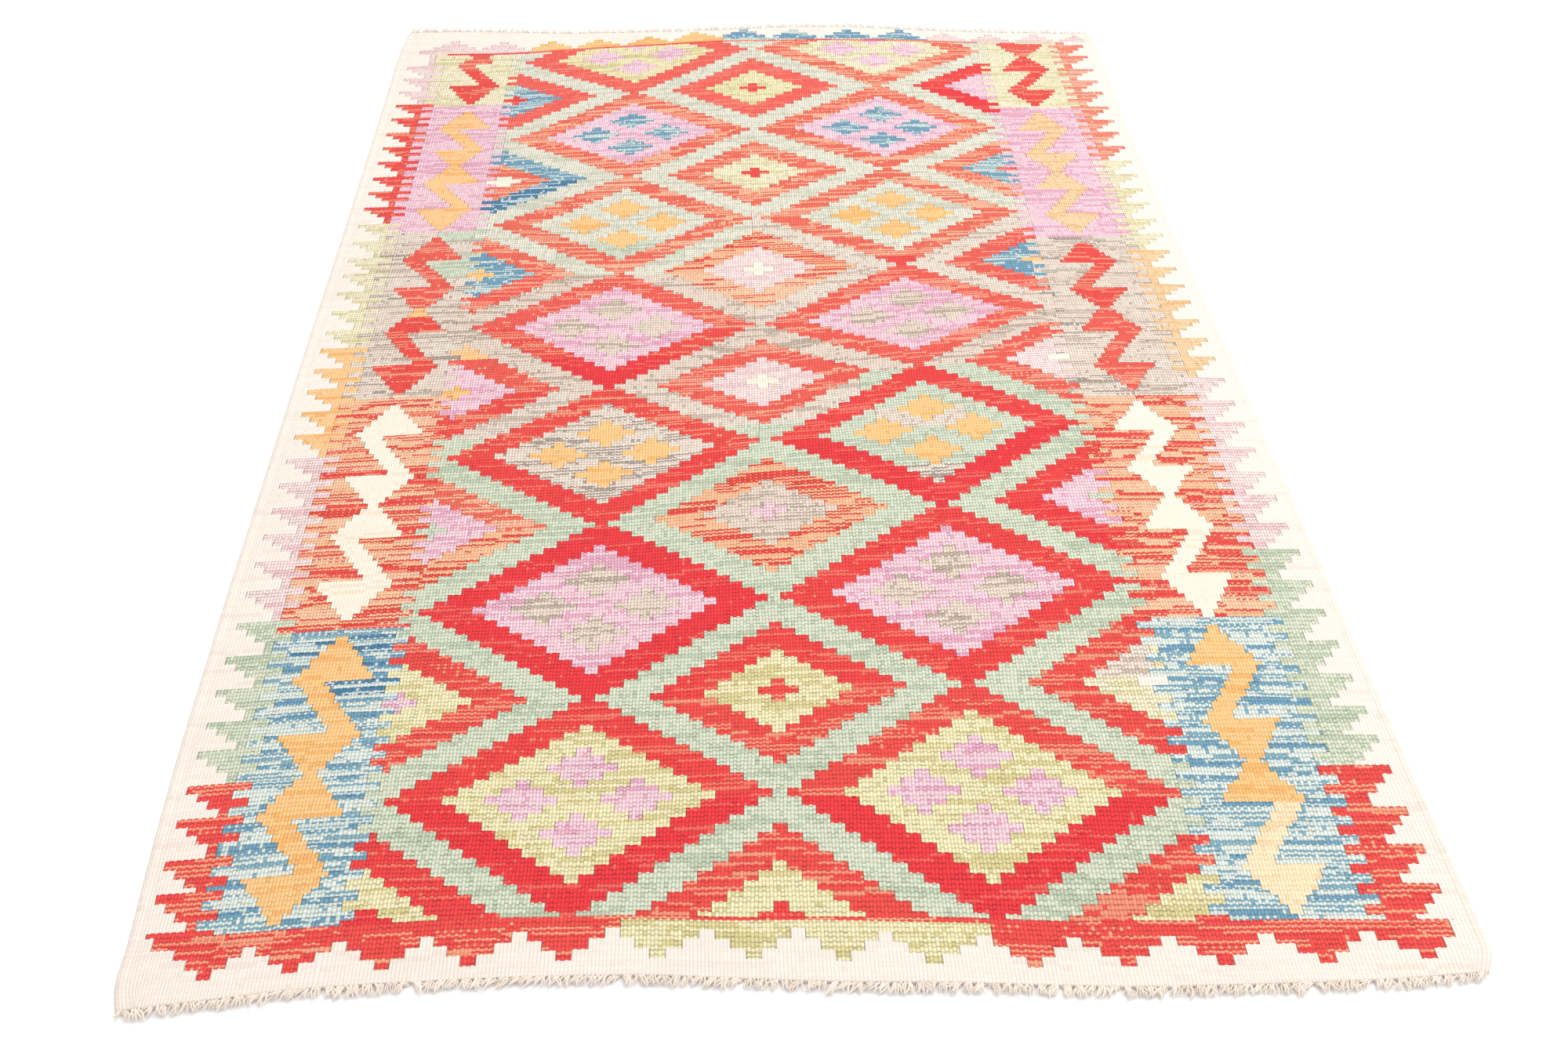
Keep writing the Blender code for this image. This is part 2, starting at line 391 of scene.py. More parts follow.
def row_heights(cell_place):
    """Y of every grid row at a place counted in cells from the first guide column."""
    left = guide_y[0] + LEFT_DROP[0] + (LEFT_DROP[1] - LEFT_DROP[0]) * along_share
    right = guide_y[-1] + RIGHT_DROP[0] + (RIGHT_DROP[1] - RIGHT_DROP[0]) * along_share
    knots = (-EDGE_CELLS, *GUIDE_COLUMNS, LAST_GUIDE + EDGE_CELLS)
    y = curve_through(knots, np.vstack([left, guide_y, right]), cell_place)
    return y + ripple(5, lattice_rows, cell_place, row_lengths=(5, 24), place_lengths=(9, 40), height=0.8)


print("middle guide from", row_heights(28)[0].round(1), "to", row_heights(28)[-1].round(1), "mm")

# %% [markdown]
# ## The side columns
#
# Each long side has, from the edge inwards: plain cream ground, a comb of stepped teeth,
# a row of short fingers where comb and block interlock, a block with hooked figures, and
# fingers again where block and field interlock. Interlocking fingers are how a weaver keeps
# a long slit from opening.
#
# The lines between them could be straight and a fixed distance apart. They are read from
# tables, because on the real cloth they lean a little to the right towards the far end.

# %% Tables of the side columns
# the woven edge: distance in from the long edge in mm, height of the upper face in mm
SELVEDGE_SECTION = ((0.0, 1.4), (1.2, 3.0), (4.0, 3.6), (7.0, 3.3), (9.0, 2.5), (11.5, 3.0))

# a hooked figure is drawn in units: mm of one, and how many reach to each side
FIGURE_UNIT = 5.75
FIGURE_HALF = 6

# y mm, tooth steps 0 to 3, comb recess, comb finger, middle of figures, field finger, recess
LEFT_LINES = (
    (50, 1, 11, 20.5, 31, 38.7, 53, 97, 147, 158),
    (300, 2, 12.5, 22, 32.5, 40, 54.5, 100, 148, 160),
    (800, 5.5, 15.5, 25, 35, 43, 58, 103.5, 150, 162),
    (1150, 8, 18, 27, 37, 45, 60, 109, 154, 167),
    (1560, 11.5, 21, 30.5, 40.5, 48.5, 64, 114, 160, 173),
)

# y mm, middle of figures, comb finger, comb recess, tooth steps 3 to 0
RIGHT_LINES = (
    (50, 895, 950, 965, 989, 999, 1008.5, 1018),
    (210, 902, 955, 970, 989, 999, 1008.5, 1018),
    (370, 906, 959, 974, 989, 998.5, 1008, 1018),
    (900, 908, 961, 976, 985, 994.5, 1004, 1013.5),
    (1350, 908, 959, 973, 983, 992.5, 1002, 1012),
    (1560, 915, 959, 972, 984, 993.5, 1003, 1012.5),
)
print("side tables:", len(LEFT_LINES[0]) - 1, "lines on the left,", len(RIGHT_LINES[0]) - 1, "on the right")

# %% Helpers for the lines across
# places beyond the outer guides are counted in cells too: mm of a cell, x mm of both guides
CELL_WIDTH = 12.2
FIRST_GUIDE_X, LAST_GUIDE_X = 160, 845

columns = []


def add_line(x_of_y, cell_place, face):
    """Put down one grid line. The face named with it lies on the line's right side."""
    y = row_heights(cell_place)
    columns.append({"x": x_of_y(y), "y": y, "face": face, "cells": cell_place})


def left_cells(x):
    """A plan x left of the field as a place counted in cells."""
    return (x - FIRST_GUIDE_X) / CELL_WIDTH


def right_cells(x):
    """A plan x right of the field as a place counted in cells."""
    return LAST_GUIDE + (x - LAST_GUIDE_X) / CELL_WIDTH


def add_figure_lines(side, table, number, middle_x, cells):
    """The thirteen lines of one side's hooked figures, a unit apart."""
    for unit in range(-FIGURE_HALF, FIGURE_HALF + 1):
        face = (side, "figure", unit) if unit < FIGURE_HALF else (side, "block", 1)
        add_line(lambda y, u=unit: read(table, number, y) + u * FIGURE_UNIT,
                 cells(middle_x + unit * FIGURE_UNIT), face)


def field_line(column):
    """X of the line on the left of a field column, at every row."""
    return curve_through(GUIDE_COLUMNS, guide_x, column - 0.5)


print("cells are", CELL_WIDTH, "mm wide beyond the guides")

# %% Lines on the left side
LEFT_FIGURE_X = 104.3
LEFT_FINGER_X, LEFT_RECESS_X = 152, 164
LEFT_FACES = (("tooth", 0), ("tooth", 1), ("tooth", 2), ("comb", 3), ("comb_finger", 0), ("block", 0))

for depth, _ in SELVEDGE_SECTION:
    add_line(lambda y, d=depth: side_edges(y)[0] + d, left_cells(PLAN_LEFT + depth), ("ground", 0))
for number, face in enumerate(LEFT_FACES, start=1):
    add_line(lambda y, n=number: read(LEFT_LINES, n, y), left_cells(LEFT_LINES[2][number]), ("left", *face))
add_figure_lines("left", LEFT_LINES, 7, LEFT_FIGURE_X, left_cells)
add_line(lambda y: read(LEFT_LINES, 8, y), left_cells(LEFT_FINGER_X), ("left", "field_finger", 0))
add_line(lambda y: read(LEFT_LINES, 9, y), left_cells(LEFT_RECESS_X), ("field", 0))
print("lines so far:", len(columns))

# %% Lines of the field and the right side
LAST_FIELD_COLUMN = 55
FIELD_FINGER = 8.5
RIGHT_FIGURE_X, RIGHT_GROUND_X = 907, 1013.5
RIGHT_FACES = (("comb_finger", 0), ("comb", 3), ("tooth", 2), ("tooth", 1), ("tooth", 0))

for column in range(1, LAST_FIELD_COLUMN + 3):
    face = ("field", column) if column <= LAST_FIELD_COLUMN else ("right", "field_finger", column)
    add_line(lambda y, c=column: field_line(c), column - 0.5, face)
add_line(lambda y: guide_x[-1] + FIELD_FINGER, LAST_GUIDE + FIELD_FINGER / CELL_WIDTH, ("right", "block", 0))
add_figure_lines("right", RIGHT_LINES, 1, RIGHT_FIGURE_X, right_cells)
for number, face in enumerate(RIGHT_FACES, start=2):
    cells = right_cells(RIGHT_LINES[3][number])
    add_line(lambda y, n=number: read(RIGHT_LINES, n, y), cells, ("right", *face))
add_line(lambda y: read(RIGHT_LINES, 7, y), right_cells(RIGHT_GROUND_X), ("ground", 0))
for depth, _ in SELVEDGE_SECTION[::-1]:
    add_line(lambda y, d=depth: side_edges(y)[1] - d, right_cells(PLAN_RIGHT - depth), ("ground", 0))
print("grid lines across:", len(columns))

# %% Main grid
# the ground beside the woven edge never closes up, and all lines but the edges' ripple
NARROWEST_GROUND = 1.6

main_x = np.array([line["x"] for line in columns]).T
main_y = np.array([line["y"] for line in columns]).T
main_faces = [line["face"] for line in columns[:-1]]
cell_places = np.array([line["cells"] for line in columns])
first_inner = len(SELVEDGE_SECTION)
inner = slice(first_inner, len(columns) - first_inner)
edge_line = main_x[:, first_inner - 1]
main_x[:, first_inner] = np.maximum(main_x[:, first_inner], edge_line + NARROWEST_GROUND)
main_x[:, inner] += ripple(8, lattice_rows[:, None], cell_places[None, inner],
                           row_lengths=(4, 18), place_lengths=(3, 11), height=0.45)
print("narrowest column in mm:", round(float(np.diff(main_x, axis=1).min()), 2))

# %% [markdown]
# ## Blocks, figures and combs
#
# Every block holds hooked figures that look like a fat S, mirrored on the right side.
# They have no rule as short as the diamonds' have, so one figure is charted: for each of
# its steps, the units from its middle line where it starts and stops. All the figures use
# that chart, and the next one begins in the last step of the one before.

# %% Chart of the hooked figure
HOOK_CHART = (
    (-1, 1), (-2, 2), (-3, 3), (-4, 4), (-5, 5), (-6, 6),
    (-5, -1), (-4, 0), (-3, 1), (-2, 2), (-1, 3), (0, 4), (1, 5),
    (-6, 6), (-5, 5), (-4, 4), (-3, 3), (-2, 2),
)

# near figures whose far part is woven in another yarn: side and block, yarn, steps of it
HEADS = {("right", 0): ("orange", 6), ("left", 2): ("soft_orange", 2), ("left", 4): ("soft_red", 8)}

# the last figure on the left ran out of room, so its head is smaller
SMALL_HEAD_FIGURE = ("left", 4)
SMALL_HEAD = {3: (-2, 2), 4: (-4, 3), 5: (-5, 3)}
print("figure:", len(HOOK_CHART), "steps of", 2 * FIGURE_HALF, "units")

# %% Tables of blocks, combs and teeth
# far end of the block in y mm, weave of the block, yarn of the far figure, yarn of the near
# figure, then y mm of the figures' far tip, of their shared waist and of their near tip
LEFT_BLOCKS = (
    (380, "blue", "orange", "orange", 368, 212, 70),
    (720, "striped", "cream_figure", "cream_figure", 707, 547, 389),
    (1051, "grey", "soft_red", "orange_red", 1036, 884, 727),
    (1373, "lilac", "soft_orange", "soft_orange", 1356, 1211, 1055),
    (1700, "lime", "red", "orange_red", 1530, 1545, 1380),
)
RIGHT_BLOCKS = (
    (374, "blue", "orange", "wheat", 364, 207, 53),
    (712, "striped", "cream_figure", "cream_figure", 701, 549, 378),
    (1032, "grey", "orange_red", "soft_red", 1021, 879, 723),
    (1369, "lilac", "pale_orange", "pale_orange", 1353, 1192, 1041),
    (1700, "lime", "soft_red", "orange_red", 1677, 1523, 1373),
)

# comb colours: far end in y mm, yarn
LEFT_COMB = (
    (211, "red_dashed"), (401, "sage"), (634, "dusty_pink"), (820, "soft_orange"),
    (1073, "pale_lime"), (1380, "orange_red"), (1700, "pale_pink"),
)
RIGHT_COMB = (
    (197, "red_dashed"), (465, "sage"), (750, "dusty_pink"), (1002, "pale_orange"),
    (1215, "pale_lime"), (1700, "faded_coral"),
)

# teeth: number of the tooth, y mm of its far side
LEFT_TEETH = (
    (-1, 30), (0, 68), (4, 210), (8, 351), (10, 437), (15, 629), (20, 817), (27, 1073),
    (35, 1382), (42, 1655),
)
RIGHT_TEETH = (
    (-1, 3), (0, 42), (4, 199), (6, 266), (11, 467), (19, 783), (25, 1003), (31, 1222),
    (40, 1565), (42, 1643),
)
print("blocks on each side:", len(LEFT_BLOCKS), "and", len(RIGHT_BLOCKS))

# %% [markdown]
# Inside the blocks the weaver changed yarn every few rows, with no plan that can be seen.
# So each block gets random runs of rows from its own short list of yarns, with a fixed
# seed. The places where the change is plain to see are named, and come after the runs.

# %% Weaves of the blocks
# runs of grid rows in a block: yarn, shortest run, longest run, how often
BLOCK_WEAVES = {
    "blue": (("blue_light", 1, 2, 4), ("blue", 1, 2, 4), ("blue_deep", 1, 3, 5)),
    "pale_blue": (("blue_light", 2, 5, 6), ("blue", 1, 2, 4)),
    "striped": (("orange_red", 1, 2, 2), ("peach_zigzag", 1, 4, 6), ("orange_zigzag", 1, 3, 4)),
    "grey": (("grey_lined", 1, 3, 3), ("grey", 1, 3, 3), ("pale_grey", 1, 4, 4)),
    "lilac": (("lilac", 3, 8, 1),),
    "lime": (("pale_lime", 3, 8, 1),),
}

# grid rows of the blue block that are in its pale weave: left part, right part
PALE_BLUE_ROWS = {"left": (62, 54), "right": (HALF_ROWS, HALF_ROWS)}

# grid rows with the last of the mint, in the right part of the third block on the left
MINT_ROWS = ((207, 218), (226, 230))


def block_rows(weave, seed):
    """The yarn of every grid row in one part of a block: random runs from its weave."""
    chance = np.random.default_rng(seed)
    yarns = BLOCK_WEAVES[weave]
    odds = np.array([often for _, _, _, often in yarns], dtype=float)
    rows, last = [], None
    while len(rows) < HALF_ROWS:
        pick = int(chance.choice(len(yarns), p=odds / odds.sum()))
        if pick == last and len(yarns) > 1:
            continue
        last = pick
        rows += [yarns[pick][0]] * int(chance.integers(yarns[pick][1], yarns[pick][2] + 1))
    return rows[:HALF_ROWS]


def figure_step(y, far_tip, waist, near_tip):
    """The step of the chart that a height falls in, and the part of the pair it is in."""
    steps = len(HOOK_CHART)
    half = steps + 0.5
    if y > far_tip:
        return None, None
    if y > waist:
        place = half * (far_tip - y) / (far_tip - waist)
    else:
        place = half + half * (waist - y) / (waist - near_tip)
    if place >= 2 * steps + 1:
        return None, None
    part = ("far", "near", "foot")[int(place) // steps]
    return int(place) % steps, part


print("weaves of the blocks:", ", ".join(BLOCK_WEAVES))

# %% [markdown]
# ## Painting the grid
#
# Now every face of the main grid gets its yarn. The rules are asked row by row: which
# tooth the row is in, which block, which step of the figure. The faces where two areas
# interlock go to one area in even rows and to the other in odd rows.

# %% What each row meets at the sides
# the grid lines, counted from the left and from the right, along which the sides are read
LEFT_READING, RIGHT_READING = 18, -18
SIDES = {
    "left": (LEFT_BLOCKS, LEFT_COMB, LEFT_TEETH),
    "right": (RIGHT_BLOCKS, RIGHT_COMB, RIGHT_TEETH),
}

# steps of a tooth, and in mm the height of a grid row and of the place in a tooth, counted
# from its far side, where the yarn of the whole tooth is read
TOOTH_STEPS = 3
BEAD_HEIGHT = 4.3
TOOTH_DEPTH = 24

# teeth beyond the ends of the grid are put this many rows outside it
BEYOND_ROWS = 20


def middles_of_rows(line):
    """Y of the middle of every grid row along one grid line."""
    return (main_y[1:, line] + main_y[:-1, line]) / 2


row_middles = {"left": middles_of_rows(LEFT_READING), "right": middles_of_rows(RIGHT_READING)}


def first_beyond(table, y):
    """The first line of a table whose first value lies beyond y."""
    return next(number for number, line in enumerate(table) if y < line[0])


def side_rows(side):
    """What each grid row meets on one side: tooth step, comb yarn, block and figure step."""
    blocks, comb, teeth = SIDES[side]
    tooth_numbers = np.arange(teeth[0][0], teeth[-1][0] + 1)
    tops = np.interp(tooth_numbers, [n for n, _ in teeth], [y for _, y in teeth])
    row_places = np.arange(HALF_ROWS) + 0.5
    top_rows = np.round(np.interp(tops, row_middles[side], row_places,
                                  left=-BEYOND_ROWS, right=HALF_ROWS + BEYOND_ROWS))
    rows = []
    for number, y in enumerate(row_middles[side]):
        gaps = top_rows - number
        gap = int(gaps[gaps > 0].min()) if (gaps > 0).any() else 1
        block = first_beyond(blocks, y)
        step, figure_part = figure_step(y, *blocks[block][4:])
        tooth_y = y + gap * BEAD_HEIGHT - TOOTH_DEPTH
        rows.append({"step": min(TOOTH_STEPS, (gap - 1) // 2), "comb": comb[first_beyond(comb, tooth_y)][1],
                     "block": block, "figure": step, "figure_part": figure_part})
    return rows


rows_of = {side: side_rows(side) for side in SIDES}
print("rows read on both sides:", [len(rows) for rows in rows_of.values()])

# %% Weft runs of the blocks
# both parts of a block, left and right of its figures, have runs of their own
runs_of = {}
for side, (blocks, _, _) in SIDES.items():
    for block, part in ((block, part) for block in range(len(blocks)) for part in range(2)):
        runs_of[side, block, part] = block_rows(blocks[block][1], 100 * block + 10 * part + len(side))
    for part, pale_rows in enumerate(PALE_BLUE_ROWS[side]):
        pale_runs = block_rows("pale_blue", 900 + 10 * part + len(side))
        runs_of[side, 0, part][:pale_rows] = pale_runs[:pale_rows]
for first_row, last_row in MINT_ROWS:
    for number in range(first_row, last_row + 1):
        runs_of["left", 2, 1][number] = "mint"
print("block parts with runs:", len(runs_of))

# %% Yarns of the side columns
def figure_span(side, row):
    """The units from which and up to which a row of a hooked figure reaches."""
    start, stop = HOOK_CHART[row["figure"]]
    if (side, row["block"]) == SMALL_HEAD_FIGURE:
        start, stop = SMALL_HEAD.get(row["figure"], (start, stop))
    return (-stop, -start) if side == "right" else (start, stop)


def figure_yarn(side, row, block):
    """The yarn of a hooked figure in one row."""
    head, head_steps = HEADS.get((side, row["block"]), (None, 0))
    if row["figure_part"] == "near" and row["figure"] < head_steps:
        return head
    return block[2] if row["figure_part"] == "far" else block[3]


def side_yarn(side, kind, value, number):
    """The yarn of one face of the side columns: its kind, its place in that kind, its row."""
    row = rows_of[side][number]
    block = SIDES[side][0][row["block"]]
    lattice_row = (number + 1) // 2
    if kind == "tooth":
        return row["comb"] if row["step"] <= value else "cream"
    if kind == "comb":
        return row["comb"]
    if kind == "comb_finger":
        if row["step"] % 2 == 0:
            return row["comb"]
        return runs_of[side, row["block"], 0 if side == "left" else 1][number]
    if kind == "field_finger" and lattice_row % 2 == 0:
        return changed(field_yarn(value, lattice_row), value, lattice_row)
    part = value if kind == "block" else int(value >= 0)
    if kind == "field_finger":
        part = 1 if side == "left" else 0
    if kind == "figure" and row["figure"] is not None:
        start, stop = figure_span(side, row)
        if start <= value < stop:
            return figure_yarn(side, row, block)
        part = 0 if value < start else 1
    return runs_of[side, row["block"], part][number]


print("middle of the left comb:", side_yarn("left", "comb", 3, HALF_ROWS // 2))

# %% Yarns of the main grid
# the red line along the far end of the field starts in the left block, and its dye changes
# after the first columns of the field
LINE_STARTS = (("left", "block"), ("left", "figure"), ("left", "field_finger"))
LINE_CHANGE = 15


def main_yarn(face, number):
    """The yarn of one face of the main grid."""
    if number == HALF_ROWS - 1 and (face[0] == "field" or face[:2] in LINE_STARTS):
        return "red" if face[0] == "left" or face[1] < LINE_CHANGE else "red_dashed"
    if face[0] == "ground":
        return "cream"
    if face[0] == "field":
        row = (number + 1) // 2
        return changed(field_yarn(face[1], row), face[1], row)
    return side_yarn(*face, number)


main_yarns = np.array([[YARN_NAMES.index(main_yarn(face, number)) for face in main_faces]
                       for number in range(HALF_ROWS)])
print("main grid:", main_yarns.shape, "faces, yarns used:", len(np.unique(main_yarns)))

# %% [markdown]
# ## The two end borders
#
# At both ends a row of stepped triangles points outwards. Their steps are wider than a
# lattice cell, so the borders are grids of their own, which are sewn to the main grid
# along one shared line of points.
#
# Between a notch and a tip there are always three steps. That gives the columns. The rows
# are: the plain cream end, the three steps, and the band that the triangles hang from. So
# two short lists, one of tips and one of notches, are enough to draw a whole border.

# %% Border tables
# near border: x mm of the tips, y mm of the tips, yarn of the triangle
NEAR_TIPS = (
    (54.5, 22.5, "red_dashed"), (117, 27, "red_dashed"), (185.5, 27.5, "red_dashed"),
    (249, 28.5, "red_dashed"), (321, 31, "red_dashed"), (392, 31, "lime"), (466, 28, "lime"),
    (534.5, 24, "lime"), (603, 19.5, "lime"), (680.5, 14, "red_dashed"), (753, 12.5, "red_dashed"),
    (828, 11, "red_dashed"), (908, 10.6, "red_dashed"), (988, 12, "red_dashed"),
)

# near border: x mm of the notches, y mm of the notches
NEAR_NOTCHES = (
    (23, 48.5), (83, 50), (150.5, 52.5), (216.4, 54.5), (287, 57), (358, 58.6), (430.5, 54.5),
    (501, 54), (568, 49), (645, 42), (713, 38.5), (787, 37.5), (864, 37.5), (944, 37), (1019, 39),
)

# far border, in the same way
FAR_TIPS = (
    (71, 1574.5, "pale_pink"), (143, 1571.5, "pale_pink"), (214, 1574, "orange"),
    (282, 1580, "orange"), (357, 1590, "orange"), (425, 1605.5, "orange"), (500, 1618, "blue"),
    (576, 1616, "blue"), (657, 1616, "blue"), (738, 1616, "blue"), (806, 1605, "pale_pink"),
    (872, 1600.5, "pale_pink"), (942, 1599.5, "pale_pink"), (1007, 1596.5, "pale_pink"),
)
FAR_NOTCHES = (
    (35, 1544.5), (107, 1545.5), (180, 1544.5), (248, 1551.5), (320, 1561), (390, 1574.5),
    (462, 1589.5), (538, 1588), (616, 1587), (697, 1588.5), (772, 1583.5), (840, 1576.5),
    (907, 1574.5), (975, 1575.5), (1019, 1576.5),
)
print("triangles:", len(NEAR_TIPS), "at the near end,", len(FAR_TIPS), "at the far end")

# %% Columns and rows of the borders
STEP_ROWS = 3

# two more column lines left of the first triangle: x mm, triangle whose band goes on there
NEAR_GROUND = ((10, 0), (19, 0))
FAR_GROUND = ((23, 0), (32, 0))

# where the rows of the plain end and of the band lie, as shares of their width
PLAIN_SHARES = (0, 0.12, 0.35, 0.7)
BAND_SHARES = (0, 0.35, 0.7, 1)
PLAIN_ROWS = len(PLAIN_SHARES)
LAST_ROW = PLAIN_ROWS + STEP_ROWS + len(BAND_SHARES) - 2


def border_lines(tips, notches, extra):
    """X of the columns between two neighbours, and what lies right of each column line."""
    lines = [(x, ("band", side)) for x, side in extra]
    for number, tip in enumerate(tips):
        before, after = notches[number][0], notches[number + 1][0]
        for step in range(STEP_ROWS):
            lines.append((before + (tip[0] - before) * (step + 0.5) / STEP_ROWS, ("step", number, step)))
        for step in range(STEP_ROWS):
            inner_step = STEP_ROWS - 2 - step
            face = ("step", number, inner_step) if inner_step >= 0 else ("notch", number, 0)
            lines.append((tip[0] + (after - tip[0]) * (step + 0.5) / STEP_ROWS, face))
    return sorted(lines, key=lambda line: line[0])


near_lines = border_lines(NEAR_TIPS, NEAR_NOTCHES, NEAR_GROUND)
far_lines = border_lines(FAR_TIPS, FAR_NOTCHES, FAR_GROUND)
print("border columns:", len(near_lines), "near,", len(far_lines), "far")

# %% Border grids
# mm that always stay between the tips and the cloth's end, and between notches and field
LEAST_WIDTH = 1.5


def border_grid(lines, junction_x, junction_y, tips, notches, far):
    """Points of one border, its rows counted from the cloth's end towards the main grid."""
    edge = end_edges([x for x, _ in lines])[int(far)]
    x_lines = np.array([x for x, _ in lines])
    outward = 1 if far else -1
    tip_y = read(tips, 1, x_lines)
    tip_y = outward * np.minimum(outward * tip_y, outward * edge - LEAST_WIDTH)
    notch_y = read(notches, 1, x_lines)
    join_y = np.interp(x_lines, junction_x, junction_y)
    notch_y = outward * np.maximum(outward * notch_y, outward * join_y + LEAST_WIDTH)
    levels = [edge + (tip_y - edge) * share for share in PLAIN_SHARES]
    levels += [tip_y + (notch_y - tip_y) * share / STEP_ROWS for share in range(STEP_ROWS)]
    levels += [notch_y + (join_y - notch_y) * share for share in BAND_SHARES]
    y = np.array(levels)
    x = np.repeat(x_lines[None, :], len(levels), axis=0)
    return x, y


def add_selvedges(x, y, junction_y, far):
    """The two edges' own lines, on both sides of a border grid."""
    _, left_inset, right_inset = SIDE_INSETS[0]
    corner = end_edges([PLAN_LEFT + left_inset, PLAN_RIGHT - right_inset])[int(far)]
    sides = []
    for side, end in ((0, 0), (1, -1)):
        share = (y[:, end] - y[0, end]) / (y[-1, end] - y[0, end])
        edge_y = corner[side] + (junction_y[end] - corner[side]) * share
        block_x, block_y = [], []
        for depth, _ in SELVEDGE_SECTION:
            edge_x = side_edges(edge_y)[side]
            line_x = edge_x + (depth if side == 0 else -depth)
            block_x.append(line_x)
            block_y.append(edge_y + (end_edges(line_x)[int(far)] - corner[side]) * (1 - share))
        if side == 1:
            block_x, block_y = block_x[::-1], block_y[::-1]
        sides.append((np.array(block_x).T, np.array(block_y).T))
    return np.hstack([sides[0][0], x, sides[1][0]]), np.hstack([sides[0][1], y, sides[1][1]])


# %% Yarns of the borders
def border_yarn(face, row, tips, band):
    """The rows are the plain end, then the steps of the triangles, then the band."""
    if face[0] == "ground" or row < PLAIN_ROWS:
        return "cream"
    if row >= PLAIN_ROWS + STEP_ROWS:
        return band(face[1], row)
    if face[0] != "step":
        return "cream"
    step = row - PLAIN_ROWS
    return tips[face[1]][2] if face[2] >= STEP_ROWS - 1 - step else "cream"


def near_band(number, row):
    """Red, but lime over the lime triangles, with one red row left along the field."""
    lime = NEAR_TIPS[number][2] == "lime" and row < LAST_ROW
    return "lime" if lime else "red_dashed"


def far_band(number, _):
    """The yarn of the band's own triangle, in every row."""
    return FAR_TIPS[number][2]


borders = {}
for name, lines, tips, notches, junction, band, far in (
        ("near", near_lines, NEAR_TIPS, NEAR_NOTCHES, 0, near_band, False),
        ("far", far_lines, FAR_TIPS, FAR_NOTCHES, -1, far_band, True)):
    x, y = border_grid(lines, main_x[junction], main_y[junction], tips, notches, far)
    x, y = add_selvedges(x, y, main_y[junction], far)
    edge_faces = [("ground", 0)] * len(SELVEDGE_SECTION)
    faces = edge_faces + [face for _, face in lines[:-1]] + edge_faces
    yarns = np.array([[YARN_NAMES.index(border_yarn(face, row, tips, band)) for face in faces]
                      for row in range(y.shape[0] - 1)])
    borders[name] = (x, y, yarns)
    narrowest = round(float(np.diff(x, axis=1).min()), 2)
    print(name, "border:", yarns.shape, "faces, narrowest column in mm", narrowest)

# %% [markdown]
# ## One sheet of cloth
#
# The three grids become one closed mesh. Where a border meets the main grid, a face takes
# in every point of the shared line that lies between its own corners, so there is no gap.
# The underside repeats the top, because a kilim shows the same pattern on both faces, and
# a thin rim closes the sheet. A plain sheet with a picture on it would look the same from
# far off. Here every step of the pattern is an edge of the mesh, so it stays sharp however
# close the camera comes.
#
# The upper face follows the section of the real edge: a doubled outer warp makes a bead,
# with a shallow groove inside it. The rest of the cloth is level, apart from a slight
# unevenness.

# %% Height of the cloth
def cloth_height(x, y):
    """Height of the upper face in mm: the bead and groove of the edges, and soft unevenness."""
    left, right = side_edges(y)
    depth = np.minimum(x - left, right - x)
    section = np.interp(depth, [d for d, _ in SELVEDGE_SECTION], [h for _, h in SELVEDGE_SECTION])
    broad = ripple(21, y, x, row_lengths=(60, 260), place_lengths=(70, 300), height=0.16)
    fine = ripple(22, y, x, row_lengths=(14, 40), place_lengths=(16, 60), height=0.07)
    return section + broad + fine


middle_height = float(cloth_height(np.array(512.0), np.array(810.0)))
print("cloth height at the middle in mm:", round(middle_height, 2))

# %% Warps and picks of the main grid
# mm from one warp to the next
RIB_PITCH = 2.9

main_picks = np.repeat(1.0 * np.arange(HALF_ROWS + 1)[:, None], main_x.shape[1], axis=1)

# every column of blocks and field holds a whole number of warps, and outside them the warps
# run evenly from the edge to the block
middle_row = main_x[HALF_ROWS // 2]
ribs = np.maximum(1, np.round(np.diff(middle_row) / RIB_PITCH))
block_start = main_faces.index(("left", "block", 0))
block_end = len(main_faces) - main_faces[::-1].index(("right", "block", 1))
ribs[:block_start] = np.diff(middle_row[:block_start + 1]) / RIB_PITCH
ribs[block_end:] = np.diff(middle_row[block_end:]) / RIB_PITCH
warps_across = np.concatenate([[0.0], np.cumsum(ribs)])
warps_across += np.ceil(warps_across[block_start]) - warps_across[block_start]
main_warps = np.repeat(warps_across[None, :], HALF_ROWS + 1, axis=0)
for row in range(HALF_ROWS + 1):
    for first, last in ((0, block_start), (block_end, len(main_faces))):
        ends = [first, last]
        ground = slice(first, last + 1)
        main_warps[row, ground] = np.interp(main_x[row, ground], main_x[row, ends], warps_across[ends])
print("warps across:", round(float(warps_across[-1])))

# %% Points of the sheet
# a border's point that is within so many mm of the main grid's is the same point
SAME_POINT = 0.4

# each point is x, y and height in mm, warp and pick
points = []


def add_points(x, y, warps, picks):
    """Add a grid of points and give back their numbers."""
    start = len(points)
    height = cloth_height(x, y)
    for values in zip(x.ravel(), y.ravel(), height.ravel(), warps.ravel(), picks.ravel()):
        points.append(values)
    return np.arange(start, len(points)).reshape(x.shape)


def border_weave(x, y, junction):
    """Warps and picks of a border's points, carried on from the main grid's end row."""
    warps = np.interp(x[-1], main_x[junction], main_warps[junction])
    picks = main_picks[junction, 0] + (y - y[-1]) / BEAD_HEIGHT
    return np.repeat(warps[None, :], x.shape[0], axis=0), picks


